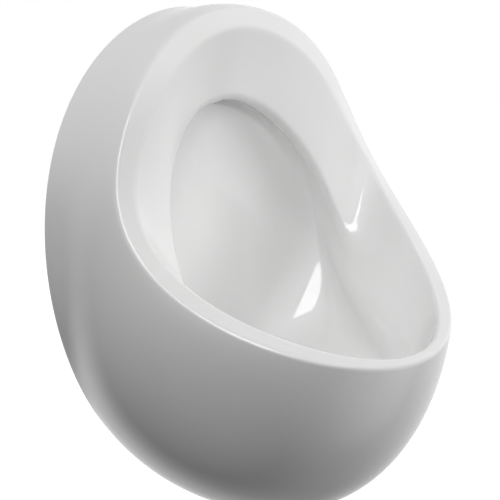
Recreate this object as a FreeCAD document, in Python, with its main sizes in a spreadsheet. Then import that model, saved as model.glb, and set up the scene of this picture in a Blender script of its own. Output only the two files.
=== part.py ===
import FreeCAD, Part
import Sketcher
import os
from math import acos, cos, degrees, pi, radians, sin

# A wall hung urinal in glazed ceramic, with its hidden fixings, flush inlet and trap.
# Millimetres. The wall is the plane Y = 0 and the bowl opens towards -Y, with +Z up.
# The origin is on the wall, midway between the two hanger screws.

SIZES = [
    # outline of the ceramic on the wall
    ("outline_width", 358.0),
    ("outline_height", 500.0),
    ("outline_centre", -122.0),
    ("outline_top_taper", 22.0),
    ("outline_fullness", 3.0),
    # outer edge of the rim, seen from the front
    ("rim_inset", 5.0),
    ("rim_height", 308.0),
    ("rim_centre", -16.0),
    ("rim_taper", -32.0),
    ("rim_fullness", 22.0),
    # how far the rim stands off the wall, at the top and at the lip
    ("rim_depth_top", 75.0),
    ("lip_depth", 340.0),
    ("rim_hollow", -404.0),
    ("rim_sweep", 295.0),
    # inner edge of the rim
    ("band_side", 17.0),
    ("band_height", 12.0),
    ("band_drop", 6.5),
    ("band_slope", 7.0),
    ("band_shift", 10.0),
    ("outer_rounding", 5.0),
    ("inner_rounding", 4.0),
    # crease where the funnel of the bowl meets its back wall
    ("crease_width", 222.0),
    ("crease_height", 269.0),
    ("crease_centre", -95.0),
    ("crease_depth", 71.5),
    ("crease_slope", 106.5),
    ("crease_front", 121.5),
    # recess behind the nose over the crease
    ("recess_depth", 38.0),
    ("recess_run", 90.0),
    ("recess_spread", 14.0),
    ("recess_rise", 4.0),
    ("back_drop", 95.0),
    ("front_drop", 8.0),
    ("floor_reach", 76.0),
    ("floor_fall", 8.0),
    ("ceramic_wall", 10.0),
    ("back_flange", 14.0),
    # drain and its flat seats in the ceramic
    ("drain_depth", 135.0),
    ("drain_floor", -250.0),
    ("drain_thickening", 2.0),
    ("drain_hole_radius", 24.0),
    ("drain_seat_radius", 34.0),
    ("drain_under_inset", 2.0),
    # hangers
    ("hanger_spacing", 130.0),
    ("hanger_plate_width", 44.0),
    ("hanger_plate_top", 16.0),
    ("hanger_plate_bottom", -62.0),
    ("steel_gauge", 3.0),
    ("tongue_reach", 15.5),
    ("tongue_width", 30.0),
    ("tongue_top", -36.0),
    ("hanger_pad_gauge", 2.0),
    ("lug_width", 52.0),
    ("lug_top", -14.0),
    ("lug_bottom", -56.0),
    ("lug_back", 5.0),
    ("lug_embed", 41.0),
    ("lug_embed_outer", 46.5),
    ("slot_margin", 2.0),
    ("coach_screw_radius", 4.0),
    ("coach_neck_radius", 3.7),
    ("coach_screw_length", 50.0),
    ("coach_head_radius", 7.5),
    ("coach_head_height", 5.5),
    ("coach_washer_radius", 11.0),
    ("washer_gauge", 1.6),
    ("screw_clearance", 0.5),
    # foot bracket and its locking screw
    ("foot_width", 74.0),
    ("foot_screw_spacing", 54.0),
    ("foot_screw_rise", 15.0),
    ("foot_back_rise", 22.0),
    ("foot_leaf_rise", 24.0),
    ("foot_leaf_reach", 38.0),
    ("lock_depth", 25.0),
    ("lock_screw_radius", 4.0),
    ("lock_seat_drop", 1.0),
    ("lock_boss_height", 12.0),
    ("lock_boss_radius", 14.0),
    ("lock_cap_radius", 10.0),
    ("lock_head_radius", 7.0),
    ("lock_head_height", 4.0),
    ("lock_nut_height", 6.5),
    # trap below the drain
    ("gasket_gauge", 1.5),
    ("waste_flange_radius", 33.0),
    ("waste_flange_gauge", 3.0),
    ("waste_bore_radius", 20.0),
    ("waste_sleeve_radius", 23.0),
    ("thread_gap", 0.05),
    ("seat_gap", 0.3),
    ("trap_radius", 44.0),
    ("trap_wall", 3.0),
    ("trap_top_gauge", 8.0),
    ("trap_bottom", -368.0),
    ("outlet_level", -300.0),
    ("outlet_radius", 25.0),
    ("outlet_spigot_radius", 24.5),
    ("outlet_wall", 2.0),
    ("outlet_into_wall", 40.0),
    ("socket_radius", 29.0),
    ("socket_end", 55.0),
    ("outlet_nut_radius", 34.0),
    ("outlet_nut_length", 18.0),
    ("dip_tube_radius", 16.0),
    ("dip_tube_wall", 2.0),
    ("dip_tube_bottom", -356.0),
    ("insert_flange_radius", 29.0),
    ("insert_flange_gauge", 2.5),
    ("ring_groove_depth", 1.6),
    ("ring_thickness", 2.4),
    ("strainer_radius", 28.0),
    ("strainer_gauge", 2.0),
    ("strainer_rise", 7.0),
    ("strainer_hole_radius", 2.4),
    ("strainer_circle", 7.6),
    # flush inlet
    ("spreader_depth", 47.0),
    ("spreader_seat", 42.0),
    ("spreader_length", 44.0),
    ("spreader_thickness", 14.0),
    ("spreader_head_height", 4.5),
    ("spreader_neck_radius", 5.0),
    ("spreader_bore_radius", 3.5),
    ("spreader_boss_radius", 12.0),
    ("spreader_boss_top", 60.0),
    ("jet_width", 1.6),
    ("locknut_radius", 11.0),
    ("locknut_height", 7.0),
    ("inlet_level", 90.0),
    ("inlet_tube_radius", 9.0),
    ("inlet_bore_radius", 6.25),
    ("inlet_nipple_radius", 10.4),
    ("inlet_into_wall", 14.0),
    ("union_nut_radius", 15.0),
    ("union_nut_length", 12.0),
]


class Size:
    """A length with its value and the spreadsheet expression that drives it."""

    def __init__(self, value, text):
        self.value = value
        self.text = text

    def __add__(self, other):
        other = as_size(other)
        return Size(self.value + other.value, "(%s + %s)" % (self.text, other.text))

    def __sub__(self, other):
        other = as_size(other)
        return Size(self.value - other.value, "(%s - %s)" % (self.text, other.text))

    def __mul__(self, factor):
        return Size(self.value * factor, "(%s * %s)" % (self.text, repr(factor)))

    def __neg__(self):
        return Size(-self.value, "(-1 * %s)" % self.text)


def as_size(number):
    if isinstance(number, Size):
        return number
    return Size(float(number), repr(float(number)))


class Sheet:
    """The driving dimensions, one attribute for each."""

    def __init__(self, document):
        self.cells = document.addObject("Spreadsheet::Sheet", "Sizes")
        for row, (alias, value) in enumerate(SIZES, start=1):
            cell = "B%d" % row
            self.cells.set("A%d" % row, alias)
            self.cells.set(cell, repr(value))
            self.cells.setAlias(cell, alias)
            setattr(self, alias, Size(value, "Sizes." + alias))


doc = FreeCAD.newDocument("WallHungUrinal")
dim = Sheet(doc)
doc.recompute()
nodes = []
HALF = 0.5

# thickness at the drain, and the flat underside that the trap seats on
drain_ceramic = dim.ceramic_wall + dim.drain_thickening
drain_under_radius = dim.trap_radius - dim.drain_under_inset
# levels of the locking screw's seat and of the foot bracket, from the outline's lowest point
lock_seat = dim.outline_centre - dim.outline_height * HALF - dim.lock_seat_drop
lock_boss_top = lock_seat + dim.lock_boss_height
foot_leaf = lock_seat + dim.foot_leaf_rise
foot_top = foot_leaf + dim.foot_back_rise
foot_screw_level = foot_leaf + dim.foot_screw_rise


# ---------------------------------------------------------------- drawing helpers

def bind(piece, prop, size):
    piece.setExpression(prop, as_size(size).text)


class Station:
    """An axis to build along: straight up, or straight out from the wall."""

    def __init__(self, x, y, z, from_wall=False):
        self.base = [as_size(x), as_size(y), as_size(z)]
        self.from_wall = from_wall

    def place(self, piece, along=0.0):
        x, y, z = self.base
        if self.from_wall:
            y = y - along
            piece.Placement = FreeCAD.Placement(
                FreeCAD.Vector(), FreeCAD.Rotation(FreeCAD.Vector(1, 0, 0), 90)
            )
        else:
            z = z + along
        for letter, size in zip("xyz", (x, y, z)):
            bind(piece, "Placement.Base." + letter, size)
        return piece


def named(piece, label, keep=True):
    piece.Label = label
    if keep:
        nodes.append(piece)
    return piece


def draw(body, role, corners):
    """A closed outline through the corners, each held by two driven distances."""
    sketch = body.newObject("Sketcher::SketchObject", body.Name + "_outline")
    plane = [face for face in body.Origin.OriginFeatures if face.Role == role][0]
    sketch.AttachmentSupport = (plane, [""])
    sketch.MapMode = "FlatFace"
    points = [FreeCAD.Vector(x.value, y.value, 0) for x, y in corners]
    count = len(points)
    for index in range(count):
        sketch.addGeometry(Part.LineSegment(points[index], points[(index + 1) % count]), False)
    for index in range(count):
        sketch.addConstraint(Sketcher.Constraint("Coincident", index, 2, (index + 1) % count, 1))
    for index, corner in enumerate(corners):
        for kind, size in zip(("DistanceX", "DistanceY"), corner):
            number = sketch.addConstraint(
                Sketcher.Constraint(kind, -1, 1, index, 1, size.value)
            )
            sketch.setExpression("Constraints[%d]" % number, size.text)
    return sketch


def turned(label, station, outline, keep=True):
    """A piece turned about its station's axis, from (radius, along) corners."""
    body = doc.addObject("PartDesign::Body", label)
    corners = [(as_size(radius), as_size(along)) for radius, along in outline]
    sketch = draw(body, "XZ_Plane", corners)
    turn = body.newObject("PartDesign::Revolution", label + "_turn")
    turn.Profile = sketch
    turn.ReferenceAxis = (sketch, ["V_Axis"])
    turn.Angle = 360.0
    sketch.Visibility = False
    station.place(body)
    return named(body, label, keep)


def collar(label, station, inner, outer, low, high, keep=True):
    """A plain ring between two radii."""
    return turned(label, station, [(inner, low), (outer, low), (outer, high), (inner, high)], keep)


def rod(name, station, radius, low, high):
    piece = doc.addObject("Part::Cylinder", name)
    bind(piece, "Radius", radius)
    bind(piece, "Height", as_size(high) - low)
    return station.place(piece, low)


def hexagon(name, station, radius, low, high):
    piece = doc.addObject("Part::Prism", name)
    piece.Polygon = 6
    bind(piece, "Circumradius", radius)
    bind(piece, "Height", as_size(high) - low)
    return station.place(piece, low)


def box(name, x, y, z):
    piece = doc.addObject("Part::Box", name)
    for prop, letter, (low, high) in zip(("Length", "Width", "Height"), "xyz", (x, y, z)):
        bind(piece, prop, as_size(high) - low)
        bind(piece, "Placement.Base." + letter, as_size(low))
    return piece


def fuse(name, pieces):
    joined = doc.addObject("Part::MultiFuse", name)
    joined.Shapes = pieces
    return joined


def cut(name, base, tools):
    result = doc.addObject("Part::Cut", name)
    result.Base = base
    result.Tool = tools[0] if len(tools) == 1 else fuse(name + "_tools", tools)
    return result


def mirrored(name, source):
    twin = doc.addObject("Part::Mirroring", name)
    twin.Source = source
    twin.Base = FreeCAD.Vector(0, 0, 0)
    twin.Normal = FreeCAD.Vector(1, 0, 0)
    return twin


def pair(label, source):
    """Two identical fasteners, left and right, in one node."""
    both = doc.addObject("Part::Compound", label)
    both.Links = [source, mirrored(label + "_twin", source)]
    return named(both, label)


def around(number):
    """A size centred on zero, as its two ends."""
    return (number * -HALF, number * HALF)


# ---------------------------------------------------------------- ceramic surfaces
# Every ring of the ceramic is a closed curve in one angle: 0 is the top, pi the lip.
# "low" runs from 0 at the top of a ring to 1 at its lowest point.

RING_POINTS = 40
TINY = 0.001
# how far the outer surface runs straight off the wall and up to the rim, as shares of the rim's
# distance from the wall, at the top and with what the sides and the lip take off or add
LEAVE_TOP, LEAVE_SIDE, LEAVE_LIP, LEAVE_LEAST = 0.35, -0.27, -0.13, 0.02
ARRIVE_TOP, ARRIVE_SIDE, ARRIVE_LIP = 0.35, 0.48, 0.08
# degrees that it leans outwards where it leaves the wall and where it meets the rim
FLARE_SIDE, FLARE_LIP = 7.0, 28.0
BELLY_TOP, BELLY_SIDE, BELLY_LIP = 7.0, 10.0, 77.6
# taper of the crease towards its top, and how sharply it comes forward towards the lip
CREASE_TAPER, CREASE_POWER = 0.075, 7
# degrees from the top where the nose starts to fade and where it ends in a small step
NOSE_FADE, NOSE_END = 85.0, 140.0
RECESS_STEP, RECESS_DROP = 1.0, 2.0
# lean of the back wall below the nose, and spread of the floor towards the lip, in millimetres
BACK_LEAN, FLOOR_SPREAD = 8.0, 20.0
# where the hollow's wall leaves the outer skin and meets the funnel, as shares along them
HOLLOW_SKIN, HOLLOW_SKIN_LIP = 0.90, -0.04
HOLLOW_FUNNEL, HOLLOW_FUNNEL_LIP = 0.35, 0.55
HOLLOW_NOSE = 0.8
# the hollow round the nose, in walls of the ceramic backwards and away from the bowl
NOSE_BACK, NOSE_OUT = 0.9, 1.1


def vector(x, y, z):
    return FreeCAD.Vector(x, y, z)


def lowness(angle):
    return (1 - cos(angle)) / 2


def rim_offset(low):
    """How far the rim's outer edge stands off the wall."""
    sweep = dim.rim_hollow.value + dim.rim_sweep.value * (1 - 2 * low)
    reach = dim.lip_depth.value - dim.rim_depth_top.value
    return dim.rim_depth_top.value + reach * low + sweep * low * (1 - low)


def wall_ring(angle):
    c = cos(angle)
    half = dim.outline_width.value / 2 + dim.outline_top_taper.value * c
    half += dim.outline_fullness.value * c * c
    return vector(half * sin(angle), 0, dim.outline_centre.value + dim.outline_height.value / 2 * c)


def rim_ring(angle):
    c = cos(angle)
    half = dim.outline_width.value / 2 - dim.rim_inset.value + dim.rim_taper.value * c
    half += dim.rim_fullness.value * c * c
    height = dim.rim_centre.value + dim.rim_height.value / 2 * c
    return vector(half * sin(angle), -rim_offset(lowness(angle)), height)


def inner_ring(angle):
    c = cos(angle)
    half = dim.outline_width.value / 2 - dim.rim_inset.value - dim.band_side.value
    half += dim.rim_taper.value * c + dim.band_shift.value * c ** 3
    half_height = dim.rim_height.value / 2 - dim.band_height.value
    height = dim.rim_centre.value - dim.band_drop.value + half_height * c
    top = dim.rim_centre.value + dim.rim_height.value / 2
    depth = rim_offset((top - height) / dim.rim_height.value) + dim.band_slope.value
    return vector(half * sin(angle), -depth, height)


def crease_ring(angle):
    low = lowness(angle)
    depth = dim.crease_depth.value + dim.crease_slope.value * low
    depth += dim.crease_front.value * low ** CREASE_POWER
    height = dim.crease_centre.value + dim.crease_height.value / 2 * cos(angle)
    half = dim.crease_width.value / 2 * (1 - CREASE_TAPER * cos(angle))
    return vector(half * sin(angle), -depth, height)


def overhang(angle):
    """1 over the top and sides of the crease, fading to 0 towards the lip."""
    from_top = degrees(acos(max(-1.0, min(1.0, cos(angle)))))
    along = max(0.0, min(1.0, (NOSE_END - from_top) / (NOSE_END - NOSE_FADE)))
    return along * along * (3 - 2 * along)


def recess_ring(angle):
    share, low = overhang(angle), lowness(angle)
    crease = crease_ring(angle)
    back = -(dim.recess_depth.value + dim.recess_run.value * low) - crease.y
    back = back * share + RECESS_STEP * (1 - share)
    rise = dim.recess_rise.value * (1 - low) * share - RECESS_DROP * (1 - share)
    spread = dim.recess_spread.value * 4 * low * (1 - low) * share
    return crease + vector(0, back, rise) + outward(crease_ring, angle) * spread


def drain_ring(angle, radius=None, level=None):
    radius = dim.drain_seat_radius.value if radius is None else radius
    level = dim.drain_floor.value if level is None else level
    return vector(radius * sin(angle), radius * cos(angle) - dim.drain_depth.value, level)


def outward(ring, angle):
    """The direction away from the middle of a ring, seen from the front."""
    step = ring(angle + TINY) - ring(angle - TINY)
    side = vector(-step.z, 0, step.x)
    side.normalize()
    return side


def bezier(corners, along):
    rest = 1 - along
    return (
        corners[0] * rest ** 3
        + corners[1] * (3 * rest * rest * along)
        + corners[2] * (3 * rest * along * along)
        + corners[3] * along ** 3
    )


def skin(angle, along):
    """The outer surface, from the wall (0) to the rim's outer edge (1)."""
    low = lowness(angle)
    wall, rim = wall_ring(angle), rim_ring(angle)
    depth = -rim.y
    leave = max(LEAVE_LEAST, LEAVE_TOP + LEAVE_SIDE * low + LEAVE_LIP * low ** 3) * depth
    arrive = (ARRIVE_TOP + ARRIVE_SIDE * low ** 2 + ARRIVE_LIP * low ** 4) * depth
    flare = radians(FLARE_SIDE * low ** 2 + FLARE_LIP * low ** 4)
    belly = BELLY_TOP * (1 - low) ** 2 + BELLY_SIDE * low * (1 - low) + BELLY_LIP * low ** 3
    belly = radians(belly)
    start = wall + outward(wall_ring, angle) * (leave * sin(flare))
    start += vector(0, -leave * cos(flare), 0)
    end = rim + outward(rim_ring, angle) * (arrive * sin(belly))
    end += vector(0, arrive * cos(belly), 0)
    return bezier((wall, start, end, rim), along)


def funnel(angle, along):
    """The sloping side of the bowl, from the rim's inner edge to the crease."""
    return inner_ring(angle) * (1 - along) + crease_ring(angle) * along


def bowl(angle, along):
    """The back wall and floor of the bowl, from below the crease to the drain."""
    low = lowness(angle)
    top, drain = recess_ring(angle), drain_ring(angle)
    drop = dim.back_drop.value * (1 - low) + dim.front_drop.value * low
    reach = dim.floor_reach.value + FLOOR_SPREAD * low
    below = top + vector(0, -BACK_LEAN * (1 - low) ** 2, -drop)
    beside = drain + vector(reach * sin(angle), reach * cos(angle), dim.floor_fall.value)
    return bezier((top, below, beside, drain), along)


def inside(surface, angle, along, depth):
    """The point a given depth into the ceramic behind a surface."""
    across = surface(angle + TINY, along) - surface(angle - TINY, along)
    low, high = max(0.0, along - TINY), min(1.0, along + TINY)
    normal = across.cross(surface(angle, high) - surface(angle, low))
    normal.normalize()
    return surface(angle, along) + normal * depth


def toward(start, end, distance):
    step = end - start
    step.normalize()
    return start + step * distance


def corner(before, edge, after):
    """The middle of a rounded edge between two points beside it."""
    return before * 0.25 + edge * 0.5 + after * 0.25


def skin_edge(angle):
    return toward(rim_ring(angle), skin(angle, 0.97), dim.outer_rounding.value)


def band_outer(angle):
    return toward(rim_ring(angle), inner_ring(angle), dim.inner_rounding.value)


def band_inner(angle):
    return toward(inner_ring(angle), rim_ring(angle), dim.inner_rounding.value)


def funnel_edge(angle):
    return toward(inner_ring(angle), crease_ring(angle), dim.outer_rounding.value)


def outer_corner(angle):
    return corner(skin_edge(angle), rim_ring(angle), band_outer(angle))


def inner_corner(angle):
    return corner(band_inner(angle), inner_ring(angle), funnel_edge(angle))


def flange_ring(angle):
    return wall_ring(angle) - outward(wall_ring, angle) * dim.back_flange.value


def hollow_share(angle):
    return HOLLOW_SKIN + HOLLOW_SKIN_LIP * lowness(angle)


def hollow_skin(angle, along):
    return inside(skin, angle, along * hollow_share(angle), dim.ceramic_wall.value)


def hollow_funnel_share(angle):
    return HOLLOW_FUNNEL + HOLLOW_FUNNEL_LIP * lowness(angle)


def hollow_funnel(angle):
    return inside(funnel, angle, hollow_funnel_share(angle), dim.ceramic_wall.value)


def hollow_nose(angle):
    share = hollow_funnel_share(angle)
    return inside(funnel, angle, share + (1 - share) * HOLLOW_NOSE, dim.ceramic_wall.value)


def hollow_recess(angle):
    share = overhang(angle)
    beside = inside(bowl, angle, 0.03, dim.ceramic_wall.value)
    out = outward(crease_ring, angle) * NOSE_OUT + vector(0, NOSE_BACK, 0)
    above = recess_ring(angle) + out * dim.ceramic_wall.value
    return beside * (1 - share) + above * share


def under_drain(angle):
    level = dim.drain_floor.value - drain_ceramic.value
    return drain_ring(angle, drain_under_radius.value, level)


def wire(ring):
    """One closed smooth curve through evenly spaced points of a ring."""
    points = [ring(2 * pi * index / RING_POINTS) for index in range(RING_POINTS)]
    knots = [index / RING_POINTS for index in range(RING_POINTS + 1)]
    curve = Part.BSplineCurve()
    curve.interpolate(Points=points, PeriodicFlag=True, Parameters=knots)
    return Part.Wire(curve.toShape())


def band(rings, straight=False):
    return Part.makeLoft([wire(ring) for ring in rings], False, straight, False).Faces


def stations(surface, shares):
    return [lambda angle, share=share: surface(angle, share) for share in shares]


def ceramic_shell():
    """The glazed outside, the bowl, and the hollow that opens at the wall."""
    steps = (0.15, 0.3, 0.45, 0.6, 0.75, 0.88)
    deep = stations(lambda a, t: inside(bowl, a, t, dim.ceramic_wall.value), steps[:5])
    faces = band([wall_ring] + stations(skin, steps) + [skin_edge])
    faces += band([skin_edge, outer_corner, band_outer])
    faces += band([band_outer, band_inner], True)
    faces += band([band_inner, inner_corner, funnel_edge])
    faces += band([funnel_edge, crease_ring], True)
    faces += band([crease_ring, recess_ring], True)
    faces += band([recess_ring] + stations(bowl, steps) + [drain_ring])
    faces.append(Part.Face(wire(drain_ring)))
    faces += band([flange_ring] + stations(hollow_skin, (0.2, 0.4, 0.6, 0.8, 1.0)))
    last = stations(hollow_skin, (1.0,))[0]
    faces += band([last, hollow_funnel], True)
    faces += band([hollow_funnel, hollow_nose], True)
    faces += band([hollow_nose, hollow_recess], True)
    faces += band([hollow_recess] + deep + [under_drain])
    faces.append(Part.Face(wire(under_drain)))
    faces += Part.Face(wire(wall_ring)).cut(Part.Face(wire(flange_ring))).Faces
    shell = Part.makeShell(faces)
    shell.sewShape()
    solid = Part.Solid(shell)
    if solid.Volume < 0:
        solid.reverse()
    return solid


# ---------------------------------------------------------------- stations
hanger_x = dim.hanger_spacing * HALF
foot_x = dim.foot_screw_spacing * HALF
drain_axis = Station(0.0, -dim.drain_depth, 0.0)
spreader_axis = Station(0.0, -dim.spreader_depth, 0.0)
lock_axis = Station(0.0, -dim.lock_depth, 0.0)
hanger_axis = Station(hanger_x, 0.0, 0.0, from_wall=True)
foot_axis = Station(foot_x, 0.0, foot_screw_level, from_wall=True)
outlet_axis = Station(0.0, 0.0, dim.outlet_level, from_wall=True)
inlet_axis = Station(0.0, 0.0, dim.inlet_level, from_wall=True)


# ---------------------------------------------------------------- ceramic
def hanger_slot():
    """The pocket behind the bowl that drops over a hanger's tongue."""
    front = dim.tongue_reach + dim.slot_margin
    back = dim.tongue_reach - dim.steel_gauge - dim.slot_margin
    half = dim.tongue_width * HALF + dim.slot_margin
    return box(
        "slot",
        (hanger_x - half, hanger_x + half),
        (-front, -back),
        (dim.lug_bottom - 1.0, dim.tongue_top + dim.hanger_pad_gauge),
    )


def ceramic():
    shell = doc.addObject("Part::Feature", "glazed_shell")
    shell.Shape = ceramic_shell()
    half_lug = dim.lug_width * HALF
    lugs = []
    for side, span, embed in (
        ("inner", (hanger_x - half_lug, hanger_x), dim.lug_embed),
        ("outer", (hanger_x, hanger_x + half_lug), dim.lug_embed_outer),
    ):
        lug = box("lug_" + side, span, (-embed, -dim.lug_back), (dim.lug_bottom, dim.lug_top))
        lugs += [lug, mirrored("lug_twin_" + side, lug)]
    spreader_boss = rod(
        "spreader_boss", spreader_axis, dim.spreader_boss_radius,
        dim.spreader_seat - 1.0, dim.spreader_boss_top,
    )
    lock_boss = rod(
        "lock_boss", lock_axis, dim.lock_boss_radius, lock_seat, lock_boss_top
    )
    solid = fuse("ceramic_solid", [shell, spreader_boss, lock_boss] + lugs)
    slot = hanger_slot()
    seat_half = dim.spreader_length * HALF + 2.0
    seat_deep = dim.spreader_thickness * HALF + 0.5
    seat = box(
        "spreader_seat_cut",
        (-seat_half, seat_half),
        (-(dim.spreader_depth + seat_deep), -(dim.spreader_depth - seat_deep)),
        (dim.spreader_seat - dim.spreader_head_height - 4.0, dim.spreader_seat),
    )
    spreader_hole = rod(
        "spreader_hole", spreader_axis, dim.spreader_neck_radius + dim.seat_gap,
        dim.spreader_seat - 2.0, dim.spreader_boss_top + 1.0,
    )
    drain_hole = rod(
        "drain_hole", drain_axis, dim.drain_hole_radius,
        dim.drain_floor - drain_ceramic - 1.0, dim.drain_floor + 1.0,
    )
    lock_hole = rod(
        "lock_hole", lock_axis, dim.lock_screw_radius + 1.5,
        lock_seat - 20.0, lock_boss_top + 1.0,
    )
    lock_recess = rod(
        "lock_recess", lock_axis, dim.lock_cap_radius + 1.0,
        lock_seat - 20.0, lock_seat,
    )
    tools = [slot, mirrored("slot_twin", slot), seat, spreader_hole, drain_hole, lock_hole, lock_recess]
    return named(cut("ceramic_body", solid, tools), "ceramic_body")


# ---------------------------------------------------------------- hangers
def hanger():
    """A steel plate bent forwards and up into a tongue, for the right-hand side."""
    gauge, half = dim.steel_gauge, dim.hanger_plate_width * HALF
    half_tongue = dim.tongue_width * HALF
    plate = box(
        "hanger_plate", (hanger_x - half, hanger_x + half), (-gauge, 0.0),
        (dim.hanger_plate_bottom, dim.hanger_plate_top),
    )
    leaf = box(
        "hanger_leaf", (hanger_x - half_tongue, hanger_x + half_tongue),
        (-dim.tongue_reach, 0.0), (dim.hanger_plate_bottom, dim.hanger_plate_bottom + gauge),
    )
    tongue = box(
        "hanger_tongue", (hanger_x - half_tongue, hanger_x + half_tongue),
        (-dim.tongue_reach, -(dim.tongue_reach - gauge)), (dim.hanger_plate_bottom, dim.tongue_top),
    )
    hole = rod(
        "hanger_hole", hanger_axis, dim.coach_screw_radius + dim.screw_clearance, -1.0, gauge + 1.0
    )
    return cut("wall_hanger_right", fuse("hanger_steel", [plate, leaf, tongue]), [hole])


def hanger_pad():
    """A plastic saddle on the tongue that the ceramic rests on."""
    half = dim.tongue_width * HALF
    clear = dim.slot_margin * HALF
    low, high = dim.tongue_top - 12.0, dim.tongue_top + dim.hanger_pad_gauge - 0.05
    inner = (dim.tongue_reach - dim.steel_gauge, dim.tongue_reach)
    outer = box(
        "pad_outer", (hanger_x - half, hanger_x + half),
        (-(inner[1] + clear), -(inner[0] - clear)), (low, high),
    )
    core = box(
        "pad_core", (hanger_x - half - 1.0, hanger_x + half + 1.0),
        (-(inner[1] + 0.02), -(inner[0] - 0.02)), (low - 1.0, dim.tongue_top),
    )
    return cut("hanger_pad", outer, [core])


def coach_screw(name, station):
    """A hexagon-headed wall screw: point and thread in the wall, then a thinner neck."""
    seat = dim.steel_gauge + dim.washer_gauge
    head = hexagon(name + "_head", station, dim.coach_head_radius, seat, seat + dim.coach_head_height)
    point = dim.coach_screw_radius * 1.4
    length = dim.coach_screw_length
    shank = turned(
        name + "_shank", station,
        [
            (0.0, -length), (dim.coach_screw_radius, point - length), (dim.coach_screw_radius, 0.0),
            (dim.coach_neck_radius, 0.0), (dim.coach_neck_radius, seat + 1.0), (0.0, seat + 1.0),
        ],
        keep=False,
    )
    return fuse(name, [shank, head])


def flat_washer(name, station):
    bore = dim.coach_screw_radius + dim.screw_clearance
    return collar(
        name, station, bore, dim.coach_washer_radius,
        dim.steel_gauge, dim.steel_gauge + dim.washer_gauge, keep=False,
    )


# ---------------------------------------------------------------- foot bracket
def foot_bracket():
    """An angle on the wall whose leaf takes the locking screw."""
    gauge, half = dim.steel_gauge, dim.foot_width * HALF
    back = box("foot_back", (-half, half), (-gauge, 0.0), (foot_leaf, foot_top))
    leaf = box(
        "foot_leaf", (-half * 0.6, half * 0.6), (-dim.foot_leaf_reach, 0.0),
        (foot_leaf, foot_leaf + gauge),
    )
    hole = rod(
        "foot_hole", foot_axis, dim.coach_screw_radius + dim.screw_clearance, -1.0, gauge + 1.0
    )
    lock_hole = rod(
        "foot_lock_hole", lock_axis, dim.lock_screw_radius + dim.screw_clearance,
        foot_leaf - 1.0, foot_leaf + gauge + 1.0,
    )
    tools = [hole, mirrored("foot_hole_twin", hole), lock_hole]
    return named(cut("foot_bracket", fuse("foot_steel", [back, leaf]), tools), "foot_bracket")


def locking_set():
    """The screw up through the underside, its cap washer and the bracket's nut."""
    seat = lock_seat
    cap = collar(
        "locking_washer", lock_axis, dim.lock_screw_radius + dim.screw_clearance,
        dim.lock_cap_radius, seat - dim.washer_gauge - 0.05, seat - 0.05,
    )
    head_top = seat - dim.washer_gauge - 0.1
    nut_low = foot_leaf + dim.steel_gauge + 0.05
    nut_high = nut_low + dim.lock_nut_height
    screw = turned(
        "locking_screw", lock_axis,
        [
            (0.0, head_top - dim.lock_head_height),
            (dim.lock_head_radius * 0.7, head_top - dim.lock_head_height),
            (dim.lock_head_radius, head_top - dim.lock_head_height * 0.4),
            (dim.lock_head_radius, head_top),
            (dim.lock_screw_radius, head_top),
            (dim.lock_screw_radius, nut_high + 1.0),
            (dim.lock_screw_radius - 1.0, nut_high + 2.0),
            (0.0, nut_high + 2.0),
        ],
    )
    block = hexagon("locking_nut_block", lock_axis, dim.lock_screw_radius * 1.8, nut_low, nut_high)
    bore = rod(
        "locking_nut_bore", lock_axis, dim.lock_screw_radius + dim.thread_gap,
        nut_low - 1.0, nut_high + 1.0,
    )
    return cap, screw, named(cut("locking_nut", block, [bore]), "locking_nut")


# ---------------------------------------------------------------- trap
def waste_fitting():
    """The ring clamped in the drain and the two gaskets that seal it."""
    floor = dim.drain_floor
    top = floor + dim.gasket_gauge
    under = floor - drain_ceramic
    collar("waste_gasket", drain_axis, dim.drain_hole_radius + 0.5, dim.waste_flange_radius, floor, top)
    collar(
        "trap_gasket", drain_axis, dim.drain_hole_radius + 0.5,
        drain_under_radius - 3.0, under - dim.gasket_gauge, under,
    )
    rim = top + dim.waste_flange_gauge
    sleeve_end = under - dim.gasket_gauge - dim.trap_top_gauge
    turned(
        "waste_ring", drain_axis,
        [
            (dim.waste_bore_radius, sleeve_end), (dim.waste_sleeve_radius, sleeve_end),
            (dim.waste_sleeve_radius, top), (dim.waste_flange_radius, top),
            (dim.waste_flange_radius, rim - 1.5), (dim.waste_flange_radius - 2.0, rim),
            (dim.waste_bore_radius + 1.0, rim), (dim.waste_bore_radius, rim - 1.0),
        ],
    )
    return rim, under


def trap_housing(under):
    """A cup under the drain with a socket towards the wall."""
    top = under - dim.gasket_gauge
    wall = dim.trap_wall
    neck = dim.waste_sleeve_radius + dim.thread_gap
    inner = dim.trap_radius - wall
    cup = turned(
        "trap_cup", drain_axis,
        [
            (neck, top), (dim.trap_radius, top), (dim.trap_radius, dim.trap_bottom + 5.0),
            (dim.trap_radius - 5.0, dim.trap_bottom), (0.0, dim.trap_bottom),
            (0.0, dim.trap_bottom + wall), (dim.trap_radius - 6.5, dim.trap_bottom + wall),
            (inner, dim.trap_bottom + 6.5), (inner, top - dim.trap_top_gauge),
            (neck, top - dim.trap_top_gauge),
        ],
        keep=False,
    )
    inward = dim.drain_depth - inner * 0.85
    socket = rod("trap_socket", outlet_axis, dim.socket_radius, dim.socket_end, inward)
    keep_out = rod("trap_inside", drain_axis, inner, dim.trap_bottom + 6.5, top - dim.trap_top_gauge)
    stub = cut("trap_stub", socket, [keep_out])
    bore = rod(
        "trap_socket_bore", outlet_axis, dim.outlet_spigot_radius + dim.seat_gap,
        dim.socket_end - 1.0, dim.drain_depth - inner * 0.9,
    )
    return named(cut("trap_housing", fuse("trap_plastic", [cup, stub]), [bore]), "trap_housing")


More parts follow.
